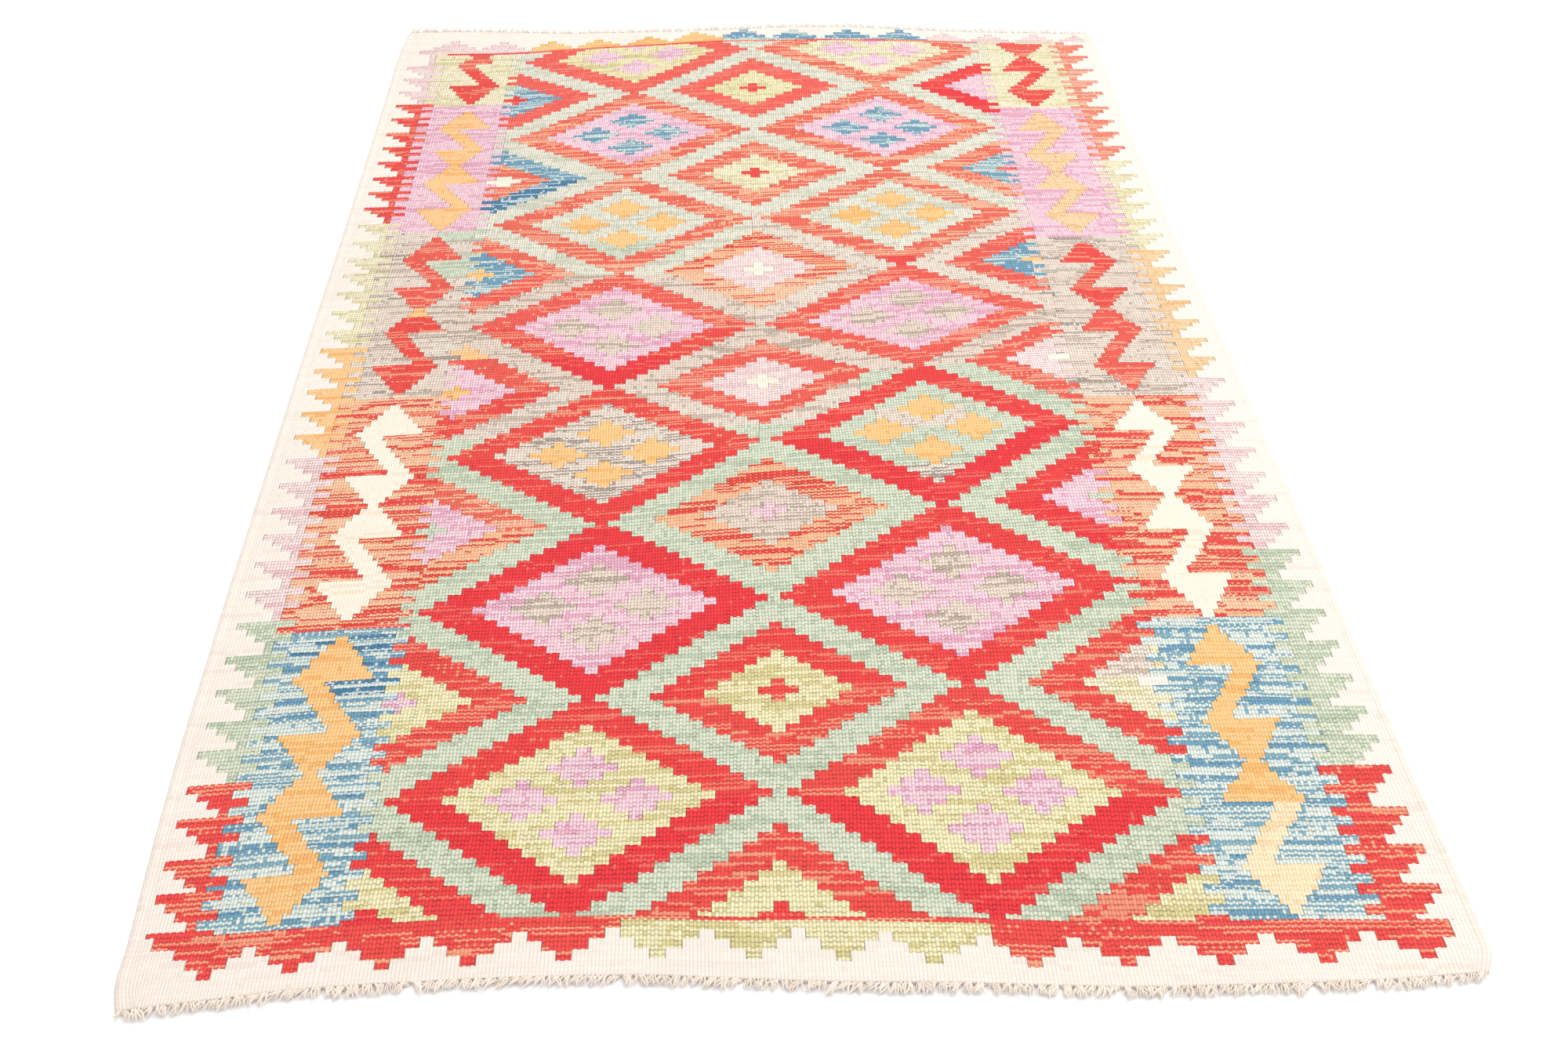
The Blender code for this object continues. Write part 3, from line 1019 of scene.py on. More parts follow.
main_ids = add_points(main_x, main_y, main_warps, main_picks)
border_ids = {}
for name, (x, y, _) in borders.items():
    junction = 0 if name == "near" else -1
    warps, picks = border_weave(x, y, junction)
    ids = np.full(x.shape, -1)
    ids[:-1] = add_points(x[:-1], y[:-1], warps[:-1], picks[:-1])
    for column, place in enumerate(x[-1]):
        nearest = int(np.abs(main_x[junction] - place).argmin())
        if abs(main_x[junction, nearest] - place) < SAME_POINT:
            ids[-1, column] = main_ids[junction, nearest]
        else:
            own = [values[-1:, column] for values in (x, y, warps, picks)]
            ids[-1, column] = add_points(*own)[0]
    border_ids[name] = ids
print("points on the upper face:", len(points))

# %% Faces with their yarns
TOUCHING = 0.01

# each face is its corners, its yarn, the yarn below, and whether it has slits left and right
quilt = []


def between(line, first, last):
    """Numbers on a shared line strictly between two of its points, from left to right."""
    low, high = points[first][0] + TOUCHING, points[last][0] - TOUCHING
    return [number for number in line if low < points[number][0] < high]


def shared_line(junction, ids):
    """Numbers of all points where a border meets the main grid, from left to right."""
    return sorted(set(main_ids[junction]) | set(ids[-1]), key=lambda number: points[number][0])


def slits(yarns):
    """Where a face's left and right neighbour is woven in another yarn."""
    changes = (yarns[:, 1:] != yarns[:, :-1]).astype(float)
    none = np.zeros((yarns.shape[0], 1))
    return np.hstack([none, changes]), np.hstack([changes, none])


def add_faces(ids, yarns, below, lower_line=None, upper_line=None):
    """Add a grid's faces, rows upwards. A shared line adds corners to the first or last row."""
    slit_left, slit_right = slits(yarns)
    rows, across = yarns.shape
    for row in range(rows):
        for column in range(across):
            corners = [ids[row, column], ids[row, column + 1], ids[row + 1, column + 1], ids[row + 1, column]]
            if row == 0 and lower_line is not None:
                corners[1:1] = between(lower_line, corners[0], corners[1])
            if row == rows - 1 and upper_line is not None:
                corners[-1:-1] = between(upper_line, corners[-1], corners[-2])[::-1]
            quilt.append((corners, yarns[row, column], below[row, column],
                          slit_left[row, column], slit_right[row, column]))


def beneath(yarns, first=None):
    """The yarn below every face. The first row looks at the row that is given."""
    return np.vstack([yarns[:1] if first is None else first[None, :], yarns[:-1]])


def match_columns(target_x, source_x, source_row):
    """Read a row of yarns at the middles of other columns."""
    middles = (target_x[1:] + target_x[:-1]) / 2
    index = np.clip(np.searchsorted(source_x, middles) - 1, 0, len(source_row) - 1)
    return source_row[index]


print("slits across the middle of the rug:", int(slits(main_yarns)[0][HALF_ROWS // 2].sum()))

# %% Put the three grids together
near_x, _, near_yarns = borders["near"]
far_x, _, far_yarns = borders["far"]
near_line = shared_line(0, border_ids["near"])
far_line = shared_line(-1, border_ids["far"])
add_faces(border_ids["near"], near_yarns, beneath(near_yarns), upper_line=near_line)
below_main = match_columns(main_x[0], near_x[-1], near_yarns[-1])
add_faces(main_ids, main_yarns, beneath(main_yarns, below_main),
          lower_line=near_line, upper_line=far_line)
below_far = match_columns(far_x[-1], main_x[-1], main_yarns[-1])
add_faces(border_ids["far"][::-1], far_yarns[::-1], beneath(far_yarns[::-1], below_far),
          lower_line=far_line)
print("faces on the upper side:", len(quilt))

# %% [markdown]
# The mesh data goes in as whole arrays, which is the fast way for tens of thousands of
# faces. What the material needs is stored with the faces: the dyes, the dye below, the
# shares of flecks, and how far a point is from the left, right and lower edge of its face.

# %% Build the rug mesh
point_table = np.array(points)
upper = len(points)
world_x, world_y = to_world(point_table[:, 0], point_table[:, 1])
top = np.column_stack([world_x, world_y, point_table[:, 2] * MM])
bottom = np.column_stack([world_x, world_y, np.zeros(upper)])
top_faces = [face[0] for face in quilt]

# an edge that is used in one direction only lies on the rim, and a dictionary keeps the order
edges = {}
for corners in top_faces:
    edges.update(dict.fromkeys(zip(corners, corners[1:] + corners[:1])))
rim = [(first, second) for first, second in edges if (second, first) not in edges]
all_faces = top_faces + [[corner + upper for corner in corners[::-1]] for corners in top_faces]
all_faces += [[second, first, first + upper, second + upper] for first, second in rim]

rug_mesh = bpy.data.meshes.new("kilim")
mesh_points = np.vstack([top, bottom]).tolist()
rug_mesh.from_pydata(mesh_points, [], [[int(corner) for corner in corners] for corners in all_faces])
rug = bpy.data.objects.new("kilim", rug_mesh)
bpy.context.scene.collection.objects.link(rug)
print("rug faces:", len(rug_mesh.polygons), " rim faces:", len(rim))

# %% Store the weaving on the faces
# how strongly the beads show, in their random tone, their relief and the painted shade in
# their grooves, and the yarns in which they show less
MARKS = 0.5
SOFT_MARKS = {"cream": 0.17, "cream_figure": 0.17, "wheat": 0.32, "orange": 0.36, "soft_orange": 0.36}

ground = YARN_NAMES.index("cream")
rim_rows = [(None, ground, ground, 0.0, 0.0)] * len(rim)
face_rows = quilt + quilt + rim_rows
yarn_of_face = np.array([row[1] for row in face_rows])
yarn_below = np.array([row[2] for row in face_rows])
dyes = np.array([linear(yarn[0]) for yarn in YARNS.values()])
second_dyes = np.array([linear(yarn[1]) for yarn in YARNS.values()])
shares = np.array([yarn[2:] for yarn in YARNS.values()])
marks = np.array([SOFT_MARKS.get(name, MARKS) for name in YARNS])


def store_colour(name, colours):
    """Store one colour for each face."""
    layer = rug_mesh.attributes.new(name, "FLOAT_COLOR", "FACE")
    layer.data.foreach_set("color", np.hstack([colours, np.ones((len(colours), 1))]).ravel())


def store_value(name, values, domain):
    """Store one number for each face or each corner of a face."""
    layer = rug_mesh.attributes.new(name, "FLOAT", domain)
    layer.data.foreach_set("value", np.asarray(values, dtype=float))


store_colour("dye", dyes[yarn_of_face])
store_colour("second_dye", second_dyes[yarn_of_face])
store_colour("dye_below", dyes[yarn_below])
store_colour("shares", shares[yarn_of_face])
store_value("marks", marks[yarn_of_face], "FACE")
store_value("slit_left", [row[3] for row in face_rows], "FACE")
store_value("slit_right", [row[4] for row in face_rows], "FACE")
print("stored on the faces:", len(face_rows), "rows")

# %% Store where a corner lies in its face
corner_point = np.zeros(len(rug_mesh.loops), dtype=int)
rug_mesh.loops.foreach_get("vertex_index", corner_point)
starts = np.zeros(len(rug_mesh.polygons), dtype=int)
rug_mesh.polygons.foreach_get("loop_start", starts)
sizes = np.diff(np.append(starts, len(corner_point)))
corner_face = np.repeat(np.arange(len(starts)), sizes)
plan = point_table[corner_point % upper]
low_x = np.minimum.reduceat(plan[:, 0], starts)[corner_face]
high_x = np.maximum.reduceat(plan[:, 0], starts)[corner_face]
low_pick = np.minimum.reduceat(plan[:, 4], starts)[corner_face]
store_value("from_left", plan[:, 0] - low_x, "CORNER")
store_value("from_right", high_x - plan[:, 0], "CORNER")
store_value("from_below", plan[:, 4] - low_pick, "CORNER")
print("corners:", len(corner_point))

# %% [markdown]
# The rug gets two maps. The first counts warps and picks, for the weave. The second lays
# the upper side, the underside and the rim side by side in one square, for baking.

# %% Maps of the rug
# shares of the square's width and height
MARGIN = 0.002
TOP_SHARE = 0.835
UNDER_START, UNDER_END = 0.85, 0.985
RIM_START, RIM_END = 0.989, 0.997

# shares of one rim face's own place in the rim's strip
RIM_LOW, RIM_HIGH = 0.1, 0.9

weave_map = rug_mesh.uv_layers.new(name="weave")
weave_map.data.foreach_set("uv", plan[:, 3:5].ravel())

across = (plan[:, 0] - PLAN_LEFT) / (PLAN_RIGHT - PLAN_LEFT)
along = (plan[:, 1] - PLAN_NEAR) / (PLAN_FAR - PLAN_NEAR)
rim_face_start = 2 * len(quilt)
is_under = (corner_face >= len(quilt)) & (corner_face < rim_face_start)
is_rim = corner_face >= rim_face_start
map_u = MARGIN + (TOP_SHARE - 2 * MARGIN) * across
map_u = np.where(is_under, UNDER_START + (UNDER_END - UNDER_START) * across, map_u)
map_v = MARGIN + (1 - 2 * MARGIN) * along
rim_place = (corner_face - rim_face_start) / max(1, len(rim))
rim_corner = (np.arange(len(corner_face)) - starts[corner_face]) % 4
rim_u = np.where((rim_corner == 0) | (rim_corner == 1), RIM_START, RIM_END)
in_place = np.where((rim_corner == 0) | (rim_corner == 3), RIM_HIGH, RIM_LOW)
rim_v = MARGIN + (1 - 2 * MARGIN) * (rim_place + in_place / len(rim))
map_u = np.where(is_rim, rim_u, map_u)
map_v = np.where(is_rim, rim_v, map_v)
bake_map = rug_mesh.uv_layers.new(name="OFBake")
bake_map.data.foreach_set("uv", np.column_stack([map_u, map_v]).ravel())

rug_mesh.polygons.foreach_set("use_smooth", np.arange(len(starts)) < rim_face_start)
rug_mesh.update()
rug_mesh.validate()
print("maps:", [layer.name for layer in rug_mesh.uv_layers])

# %% [markdown]
# ## The weave
#
# Up close, a kilim is a field of small beads. Each bead is one weft passing over one warp.
# They stand in ribs along the warps, and neighbouring ribs are set off from each other.
#
# There are more than a hundred thousand beads. Modelled one by one they would make a very
# heavy mesh, and a relief of half a millimetre hardly shows in the outline. So the
# material draws them, with painted shade in the grooves between them, and moves the light
# with a bump.
#
# The weave map counts warps in one direction and picks in the other, so a node group can
# find the bead under any point by rounding down. It gives the bead's roundness, and random
# values for the bead and for the pick. The second dye, the slits and the worn tone are all
# built from these.

# %% Node helpers
def new_node(tree, kind, **settings):
    """A new node of a tree, with the settings that are given by name."""
    node = tree.nodes.new(kind)
    for name, value in settings.items():
        setattr(node, name, value)
    return node


def feed(tree, socket, value):
    """Give a socket its value: the result of another node, a number or a colour."""
    if isinstance(value, bpy.types.NodeSocket):
        tree.links.new(value, socket)
    elif isinstance(value, (int, float)):
        socket.default_value = value
    else:
        socket.default_value = (*value, 1.0)


def maths(tree, operation, *values):
    """The result of a Math node, from results and plain numbers."""
    node = new_node(tree, "ShaderNodeMath", operation=operation)
    for socket, value in zip(node.inputs, values):
        feed(tree, socket, value)
    return node.outputs[0]


def vector_of(tree, x, y, z=0.0):
    """A vector put together from results and plain numbers."""
    node = new_node(tree, "ShaderNodeCombineXYZ")
    for socket, value in zip(node.inputs, (x, y, z)):
        feed(tree, socket, value)
    return node.outputs[0]


def blend(tree, share, first, second, mode="MIX"):
    """The result of a colour Mix node."""
    node = new_node(tree, "ShaderNodeMix", data_type="RGBA", blend_type=mode)
    for number, value in ((0, share), (6, first), (7, second)):
        feed(tree, node.inputs[number], value)
    return node.outputs[2]


def new_group(name, inputs, outputs):
    """A shader node group with named float or colour sockets, and its two end nodes."""
    group = bpy.data.node_groups.new(name, "ShaderNodeTree")
    for title, kind, value in inputs:
        socket = group.interface.new_socket(title, in_out="INPUT", socket_type=kind)
        if value is not None:
            socket.default_value = value
    for title, kind in outputs:
        group.interface.new_socket(title, in_out="OUTPUT", socket_type=kind)
    return group, new_node(group, "NodeGroupInput"), new_node(group, "NodeGroupOutput")


def random_at(tree, first, second, seed):
    """A random value from 0 to 1 that stays the same for the same pair of numbers."""
    node = new_node(tree, "ShaderNodeTexWhiteNoise", noise_dimensions="3D")
    feed(tree, node.inputs[0], vector_of(tree, first, second, seed))
    return node.outputs[0]


def noise_at(tree, vector, scale, detail):
    """Soft noise from 0 to 1 at a place."""
    node = new_node(tree, "ShaderNodeTexNoise", noise_dimensions="3D")
    for title, value in (("Vector", vector), ("Scale", scale), ("Detail", detail)):
        feed(tree, node.inputs[title], value)
    return node.outputs[0]


print("node helpers ready")

# %% Group: places in the weave
FLOAT, COLOUR = "NodeSocketFloat", "NodeSocketColor"

# in beads: how far the odd ribs are set off, and how far a row strays up or down
ODD_RISE = 0.16
WANDER = 0.25
WANDER_SCALE = 0.7

beads_group, given, result = new_group(
    "Weave beads",
    (("Warps", FLOAT, 0.0), ("Picks", FLOAT, 0.0), ("Rib groove", FLOAT, 0.5), ("Row groove", FLOAT, 0.7)),
    (("Height", FLOAT), ("Rib", FLOAT), ("Odd rib", FLOAT), ("Row", FLOAT), ("In row", FLOAT),
     ("Bead chance", FLOAT)))
tree = beads_group
warps, picks = given.outputs["Warps"], given.outputs["Picks"]
drifting = noise_at(tree, vector_of(tree, warps, picks), WANDER_SCALE, 1.0)
wander = maths(tree, "MULTIPLY_ADD", drifting, 2 * WANDER, -WANDER)
rib = maths(tree, "FLOOR", warps)
odd = maths(tree, "FLOORED_MODULO", rib, 2.0)
in_rib = maths(tree, "FRACT", warps)
raised = maths(tree, "ADD", picks, maths(tree, "MULTIPLY", odd, ODD_RISE))
raised = maths(tree, "ADD", raised, wander)
row = maths(tree, "FLOOR", raised)
in_row = maths(tree, "FRACT", raised)
print("group:", beads_group.name, "finds a rib and a row with", len(tree.nodes), "nodes")

# %% Group: roundness of a bead
ROUNDNESS = 0.35
LEAST_DEPTH, MORE_DEPTH = 0.5, 1.2


def rounded(place, groove):
    """A round section from 0 to 1 that drops by the groove's depth at both sides."""
    half_wave = maths(tree, "SINE", maths(tree, "MULTIPLY", place, math.pi))
    missing = maths(tree, "SUBTRACT", 1.0, maths(tree, "POWER", half_wave, ROUNDNESS))
    return maths(tree, "SUBTRACT", 1.0, maths(tree, "MULTIPLY", missing, groove))


deeper = maths(tree, "POWER", random_at(tree, rib, row, 2.0), 2.0)
depth = maths(tree, "MULTIPLY_ADD", deeper, MORE_DEPTH, LEAST_DEPTH)
row_groove = maths(tree, "MULTIPLY", given.outputs["Row groove"], depth)
across_rib = rounded(in_rib, given.outputs["Rib groove"])
height = maths(tree, "MULTIPLY", across_rib, rounded(in_row, row_groove))
bead_results = {"Height": height, "Rib": rib, "Odd rib": odd, "Row": row, "In row": in_row,
                "Bead chance": random_at(tree, rib, row, 1.0)}
for title, socket in bead_results.items():
    tree.links.new(socket, result.inputs[title])
print("group:", beads_group.name, "with", len(tree.nodes), "nodes")

# %% [markdown]
# A weft of the second dye runs for a stretch of warps and then sinks away. So the warps are
# cut into stretches, shifted from row to row, and each stretch gets a random value. A slow
# drift lets the rows of colour climb or fall a little against the rows of beads. A thin
# line covers only the upper part of its row, and some lines show on odd ribs alone.

# %% Group: rows of the second dye
DRIFT_SCALES = (0.045, 0.04)
MOST_SHIFT = 9.0

streaks_group, given, result = new_group(
    "Second dye",
    (("Rib", FLOAT, 0.0), ("Odd rib", FLOAT, 0.0), ("Row", FLOAT, 0.0), ("In row", FLOAT, 0.0),
     ("Bead chance", FLOAT, 0.0), ("Shares", COLOUR, None), ("Stretch", FLOAT, 26.0),
     ("Drift", FLOAT, 5.0)),
    (("Second", FLOAT), ("Row chance", FLOAT)))
tree = streaks_group
spread = [maths(tree, "MULTIPLY", given.outputs[title], scale)
          for title, scale in zip(("Rib", "Row"), DRIFT_SCALES)]
drifting = noise_at(tree, vector_of(tree, *spread), 1.0, 1.0)
drift = maths(tree, "MULTIPLY", drifting, given.outputs["Drift"])
colour_row = maths(tree, "FLOOR", maths(tree, "ADD", given.outputs["Row"], drift))


def stretch_chance(length, seed):
    """One random value for each stretch of each colour row."""
    nothing = maths(tree, "MULTIPLY", colour_row, 0.0)
    start = maths(tree, "MULTIPLY", random_at(tree, colour_row, nothing, seed), MOST_SHIFT)
    stretches = maths(tree, "DIVIDE", given.outputs["Rib"], length)
    stretch = maths(tree, "FLOOR", maths(tree, "ADD", stretches, start))
    return random_at(tree, colour_row, stretch, seed + 1.0)


shares = new_node(tree, "ShaderNodeSeparateColor")
tree.links.new(given.outputs["Shares"], shares.inputs[0])
row_share, line_share, bead_share = shares.outputs[:3]
row_chance = stretch_chance(given.outputs["Stretch"], 3.0)
by_row = maths(tree, "LESS_THAN", row_chance, row_share)
print("group:", streaks_group.name, "colours whole rows with", len(tree.nodes), "nodes")

# %% Group: thin lines and single beads
# warps of a line's stretches, height in the row above which a line shows, share of lines
# that show on odd ribs alone, and a factor that makes a new random value of a used one
LINE_STRETCH = 17.0
LINE_BOTTOM = 0.52
DASHED_SHARE = 0.12
SHUFFLE = 37.0

line_chance = stretch_chance(LINE_STRETCH, 11.0)
shuffled = maths(tree, "FRACT", maths(tree, "MULTIPLY", line_chance, SHUFFLE))
dashed = maths(tree, "LESS_THAN", shuffled, DASHED_SHARE)
even_rib = maths(tree, "SUBTRACT", 1.0, given.outputs["Odd rib"])
shown = maths(tree, "SUBTRACT", 1.0, maths(tree, "MULTIPLY", dashed, even_rib))
upper_part = maths(tree, "GREATER_THAN", given.outputs["In row"], LINE_BOTTOM)
by_line = maths(tree, "MULTIPLY", maths(tree, "LESS_THAN", line_chance, line_share), upper_part)
by_line = maths(tree, "MULTIPLY", by_line, shown)
by_bead = maths(tree, "LESS_THAN", given.outputs["Bead chance"], bead_share)
second = maths(tree, "MAXIMUM", maths(tree, "MAXIMUM", by_row, by_line), by_bead)
tree.links.new(second, result.inputs["Second"])
tree.links.new(row_chance, result.inputs["Row chance"])
print("group:", streaks_group.name, "with", len(tree.nodes), "nodes")

# %% [markdown]
# The wool's own material puts the groups together. On every odd rib, the lowest part of a
# face belongs to the area below, which gives each change of colour its toothed edge. A slit
# is a thin gap between two areas, and the shade in it is painted as a thin dark line. Wool
# has no mirror shine, but its fibres catch light at a low angle, so there is some sheen.

# %% Material: dyed wool
RIB_GROOVE = 0.75
ROW_GROOVE = 1.7

wool = bpy.data.materials.new("kilim_wool")
wool.use_nodes = True
tree = wool.node_tree
shader = tree.nodes["Principled BSDF"]


def attribute(name, output="Fac"):
    """A value or a colour that is stored on the mesh."""
    return new_node(tree, "ShaderNodeAttribute", attribute_name=name).outputs[output]


weave = new_node(tree, "ShaderNodeUVMap", uv_map="weave")
weave_parts = new_node(tree, "ShaderNodeSeparateXYZ")
tree.links.new(weave.outputs[0], weave_parts.inputs[0])
place = new_node(tree, "ShaderNodeTexCoord").outputs["Object"]

marks = attribute("marks")
beads = new_node(tree, "ShaderNodeGroup", node_tree=beads_group)
bead_values = {"Warps": weave_parts.outputs[0], "Picks": weave_parts.outputs[1],
               "Rib groove": RIB_GROOVE, "Row groove": maths(tree, "MULTIPLY", marks, ROW_GROOVE)}
for title, value in bead_values.items():
    feed(tree, beads.inputs[title], value)
streaks = new_node(tree, "ShaderNodeGroup", node_tree=streaks_group)
for title in ("Rib", "Odd rib", "Row", "In row", "Bead chance"):
    tree.links.new(beads.outputs[title], streaks.inputs[title])
tree.links.new(attribute("shares", "Color"), streaks.inputs["Shares"])

at_bottom = maths(tree, "LESS_THAN", attribute("from_below"), ODD_RISE)
tooth_below = maths(tree, "MULTIPLY", at_bottom, beads.outputs["Odd rib"])
first_dye, second_dye = attribute("dye", "Color"), attribute("second_dye", "Color")
colour = blend(tree, streaks.outputs["Second"], first_dye, second_dye)
colour = blend(tree, tooth_below, colour, attribute("dye_below", "Color"))
print("dyes mixed with", len(tree.nodes), "nodes")

# %% Material: dyed wool, its tone and painted shade
# mm on each side of a slit that lie in its painted shade
SLIT_HALF_WIDTH = 0.45
BROAD_SCALE = 5.0
FIBRE_SCALE = 1400.0


def slit_beside(side):
    """1 where a face is open along its left or its right side, and 0 elsewhere."""
    beside = maths(tree, "LESS_THAN", attribute("from_" + side), SLIT_HALF_WIDTH)
    return maths(tree, "MULTIPLY", beside, attribute("slit_" + side))


bead_spread = maths(tree, "SUBTRACT", beads.outputs["Bead chance"], 0.5)
# how far down a point lies in the groove between beads, for the painted shade there
groove = maths(tree, "SUBTRACT", 1.0, beads.outputs["Height"])
fibre = noise_at(tree, place, FIBRE_SCALE, 2.0)
slit = maths(tree, "MAXIMUM", slit_beside("left"), slit_beside("right"))

# each effect, how much it adds to the tone, and the tone where there is none of it
effects = (
    (maths(tree, "MULTIPLY", bead_spread, marks), 0.18, 1.0),
    (streaks.outputs["Row chance"], 0.05, 0.975),
    (noise_at(tree, place, BROAD_SCALE, 3.0), 0.08, 0.96),
    (fibre, 0.06, 0.97),
    # painted shade in the grooves between the beads, where the relief is low
    (maths(tree, "MULTIPLY", groove, marks), -1.5, 0.95),
    # painted shade in the slits, a thin dark line along them
    (slit, -0.45, 1.0),
)
tone = 1.0
for effect, change, start in effects:
    tone = maths(tree, "MULTIPLY", tone, maths(tree, "MULTIPLY_ADD", effect, change, start))
grey_tone = new_node(tree, "ShaderNodeCombineColor")
for socket in grey_tone.inputs[:3]:
    tree.links.new(tone, socket)
colour = blend(tree, 1.0, colour, grey_tone.outputs[0], mode="MULTIPLY")
tree.links.new(colour, shader.inputs["Base Color"])
print("tone made of", len(effects), "effects")

# %% Material: dyed wool, its relief
SLIT_DEPTH = 0.8
FIBRE_HEIGHT = 0.25
LEAST_ROUGHNESS, MORE_ROUGHNESS = 0.82, 0.12


def add_bump(height, strength, distance):
    """Let a height in a material turn the light, as a relief of that many metres."""
    bump = new_node(tree, "ShaderNodeBump")
    for title, value in (("Strength", strength), ("Distance", distance), ("Height", height)):
        feed(tree, bump.inputs[title], value)
    tree.links.new(bump.outputs[0], shader.inputs["Normal"])


relief = maths(tree, "SUBTRACT", beads.outputs["Height"], maths(tree, "MULTIPLY", slit, SLIT_DEPTH))
relief = maths(tree, "ADD", relief, maths(tree, "MULTIPLY", fibre, FIBRE_HEIGHT))
add_bump(relief, 0.6, 0.0007)
roughness = maths(tree, "MULTIPLY_ADD", fibre, MORE_ROUGHNESS, LEAST_ROUGHNESS)
tree.links.new(roughness, shader.inputs["Roughness"])
shader.inputs["Specular IOR Level"].default_value = 0.1
shader.inputs["Sheen Weight"].default_value = 0.04
shader.inputs["Sheen Roughness"].default_value = 0.6
rug_mesh.materials.append(wool)
print("material:", wool.name, "with", len(tree.nodes), "nodes")

# %% [markdown]
# ## The tied warp ends
#
# When the rug is cut from the loom, the warps at each end are knotted in small groups and
# trimmed short. That is the same small thing about a hundred times along a line, so it is a
# task for Geometry Nodes: resample the edge at the knots' pitch, put a knot on every
# point, and let a few yarns lie out from it. The yarns come in three bends. Each knot has
# its own lean and length, and each of its yarns has some of its own, from a fixed seed.

# %% Tree of the warp ends: its inputs
INTEGER, MATERIAL, SHAPE = "NodeSocketInt", "NodeSocketMaterial", "NodeSocketGeometry"
TREE_INPUTS = (
    ("Geometry", SHAPE, None), ("Pitch", FLOAT, 0.0092), ("Length", FLOAT, 0.009), ("Lean", FLOAT, 0.0),
    ("Spread", FLOAT, 0.5), ("Yarn radius", FLOAT, 0.0006), ("Knot size", FLOAT, 0.0022),
    ("Side", FLOAT, 1.0), ("Yarns", INTEGER, 4), ("Seed", INTEGER, 1), ("Material", MATERIAL, None),
)

tree = bpy.data.node_groups.new("Tied warp ends", "GeometryNodeTree")
ends_tree = tree
inputs = {}
for title, kind, value in TREE_INPUTS:
    socket = tree.interface.new_socket(title, in_out="INPUT", socket_type=kind)
    if value is not None:
        socket.default_value = value
    inputs[title] = socket.identifier
tree.interface.new_socket("Geometry", in_out="OUTPUT", socket_type=SHAPE)
given = new_node(tree, "NodeGroupInput")
result = new_node(tree, "NodeGroupOutput")
print("tree:", tree.name, "with the inputs", ", ".join(inputs))

# %% Tree of the warp ends: helpers
def link(source, node, name):
    """Link a result to a node's named input, and give the node back."""
    tree.links.new(source, node.inputs[name])
    return node


def random_value(low, high, seed_shift, kind="FLOAT", number=None):
    """A chance value of each point, or one for all the points that share a number."""
    node = new_node(tree, "FunctionNodeRandomValue", data_type=kind)
    if number is not None:
        tree.links.new(number, node.inputs["ID"])
    ends = [socket for socket in node.inputs if socket.enabled and socket.name in ("Min", "Max")]
    for socket, value in zip(ends, (low, high)):
        feed(tree, socket, value)
    feed(tree, node.inputs["Seed"], maths(tree, "ADD", given.outputs["Seed"], float(seed_shift)))
    return next(socket for socket in node.outputs if socket.enabled)


def place_on(points, instance, scale, rotation):
    """A node that puts an instance on every point, with its own scale and rotation."""
    node = link(points, new_node(tree, "GeometryNodeInstanceOnPoints"), "Points")
    link(instance, node, "Instance")
    link(scale, node, "Scale")
    return link(rotation, node, "Rotation")


# %% Tree of the warp ends: a knot at every step of the edge
KNOT_ROUNDNESS = 2
KNOT_TURN = 0.5

# low and high of a knot's width, depth and height, as shares of its size
KNOT_SCALES = ((1.3, 1.9), (0.7, 0.95), (0.6, 0.8))

edge = link(given.outputs["Geometry"], new_node(tree, "GeometryNodeMeshToCurve"), "Mesh")
resampled = link(edge.outputs[0], new_node(tree, "GeometryNodeResampleCurve", mode="LENGTH"), "Curve")
link(given.outputs["Pitch"], resampled, "Length")
as_points = new_node(tree, "GeometryNodeCurveToPoints", mode="EVALUATED")
knot_points = link(resampled.outputs[0], as_points, "Curve").outputs["Points"]
knot = link(given.outputs["Knot size"], new_node(tree, "GeometryNodeMeshIcoSphere"), "Radius")
knot.inputs["Subdivisions"].default_value = KNOT_ROUNDNESS
knot_scale = [random_value(low, high, shift) for shift, (low, high) in enumerate(KNOT_SCALES, 1)]
knot_turn = random_value(-KNOT_TURN, KNOT_TURN, 4)
on_knots = place_on(knot_points, knot.outputs["Mesh"], vector_of(tree, *knot_scale),
                    vector_of(tree, 0.0, 0.0, knot_turn))
print("knots:", len(tree.nodes), "nodes so far")

# %% Tree of the warp ends: one yarn in three bends
# the sideways bend and the lift of each
YARN_BENDS = ((-0.35, 0.9), (0.05, 1.6), (0.4, 1.2))
YARN_SIDES = 6
YARN_STEPS = 6
MIDDLE_BEND, TIP_BEND = 0.6, -0.25
ROOT_HEIGHT, LIFTED_HEIGHT, TIP_HEIGHT = 0.0011, 0.0012, 0.0007
ROOT_WIDTH, TIP_LOSS = 1.1, 0.6

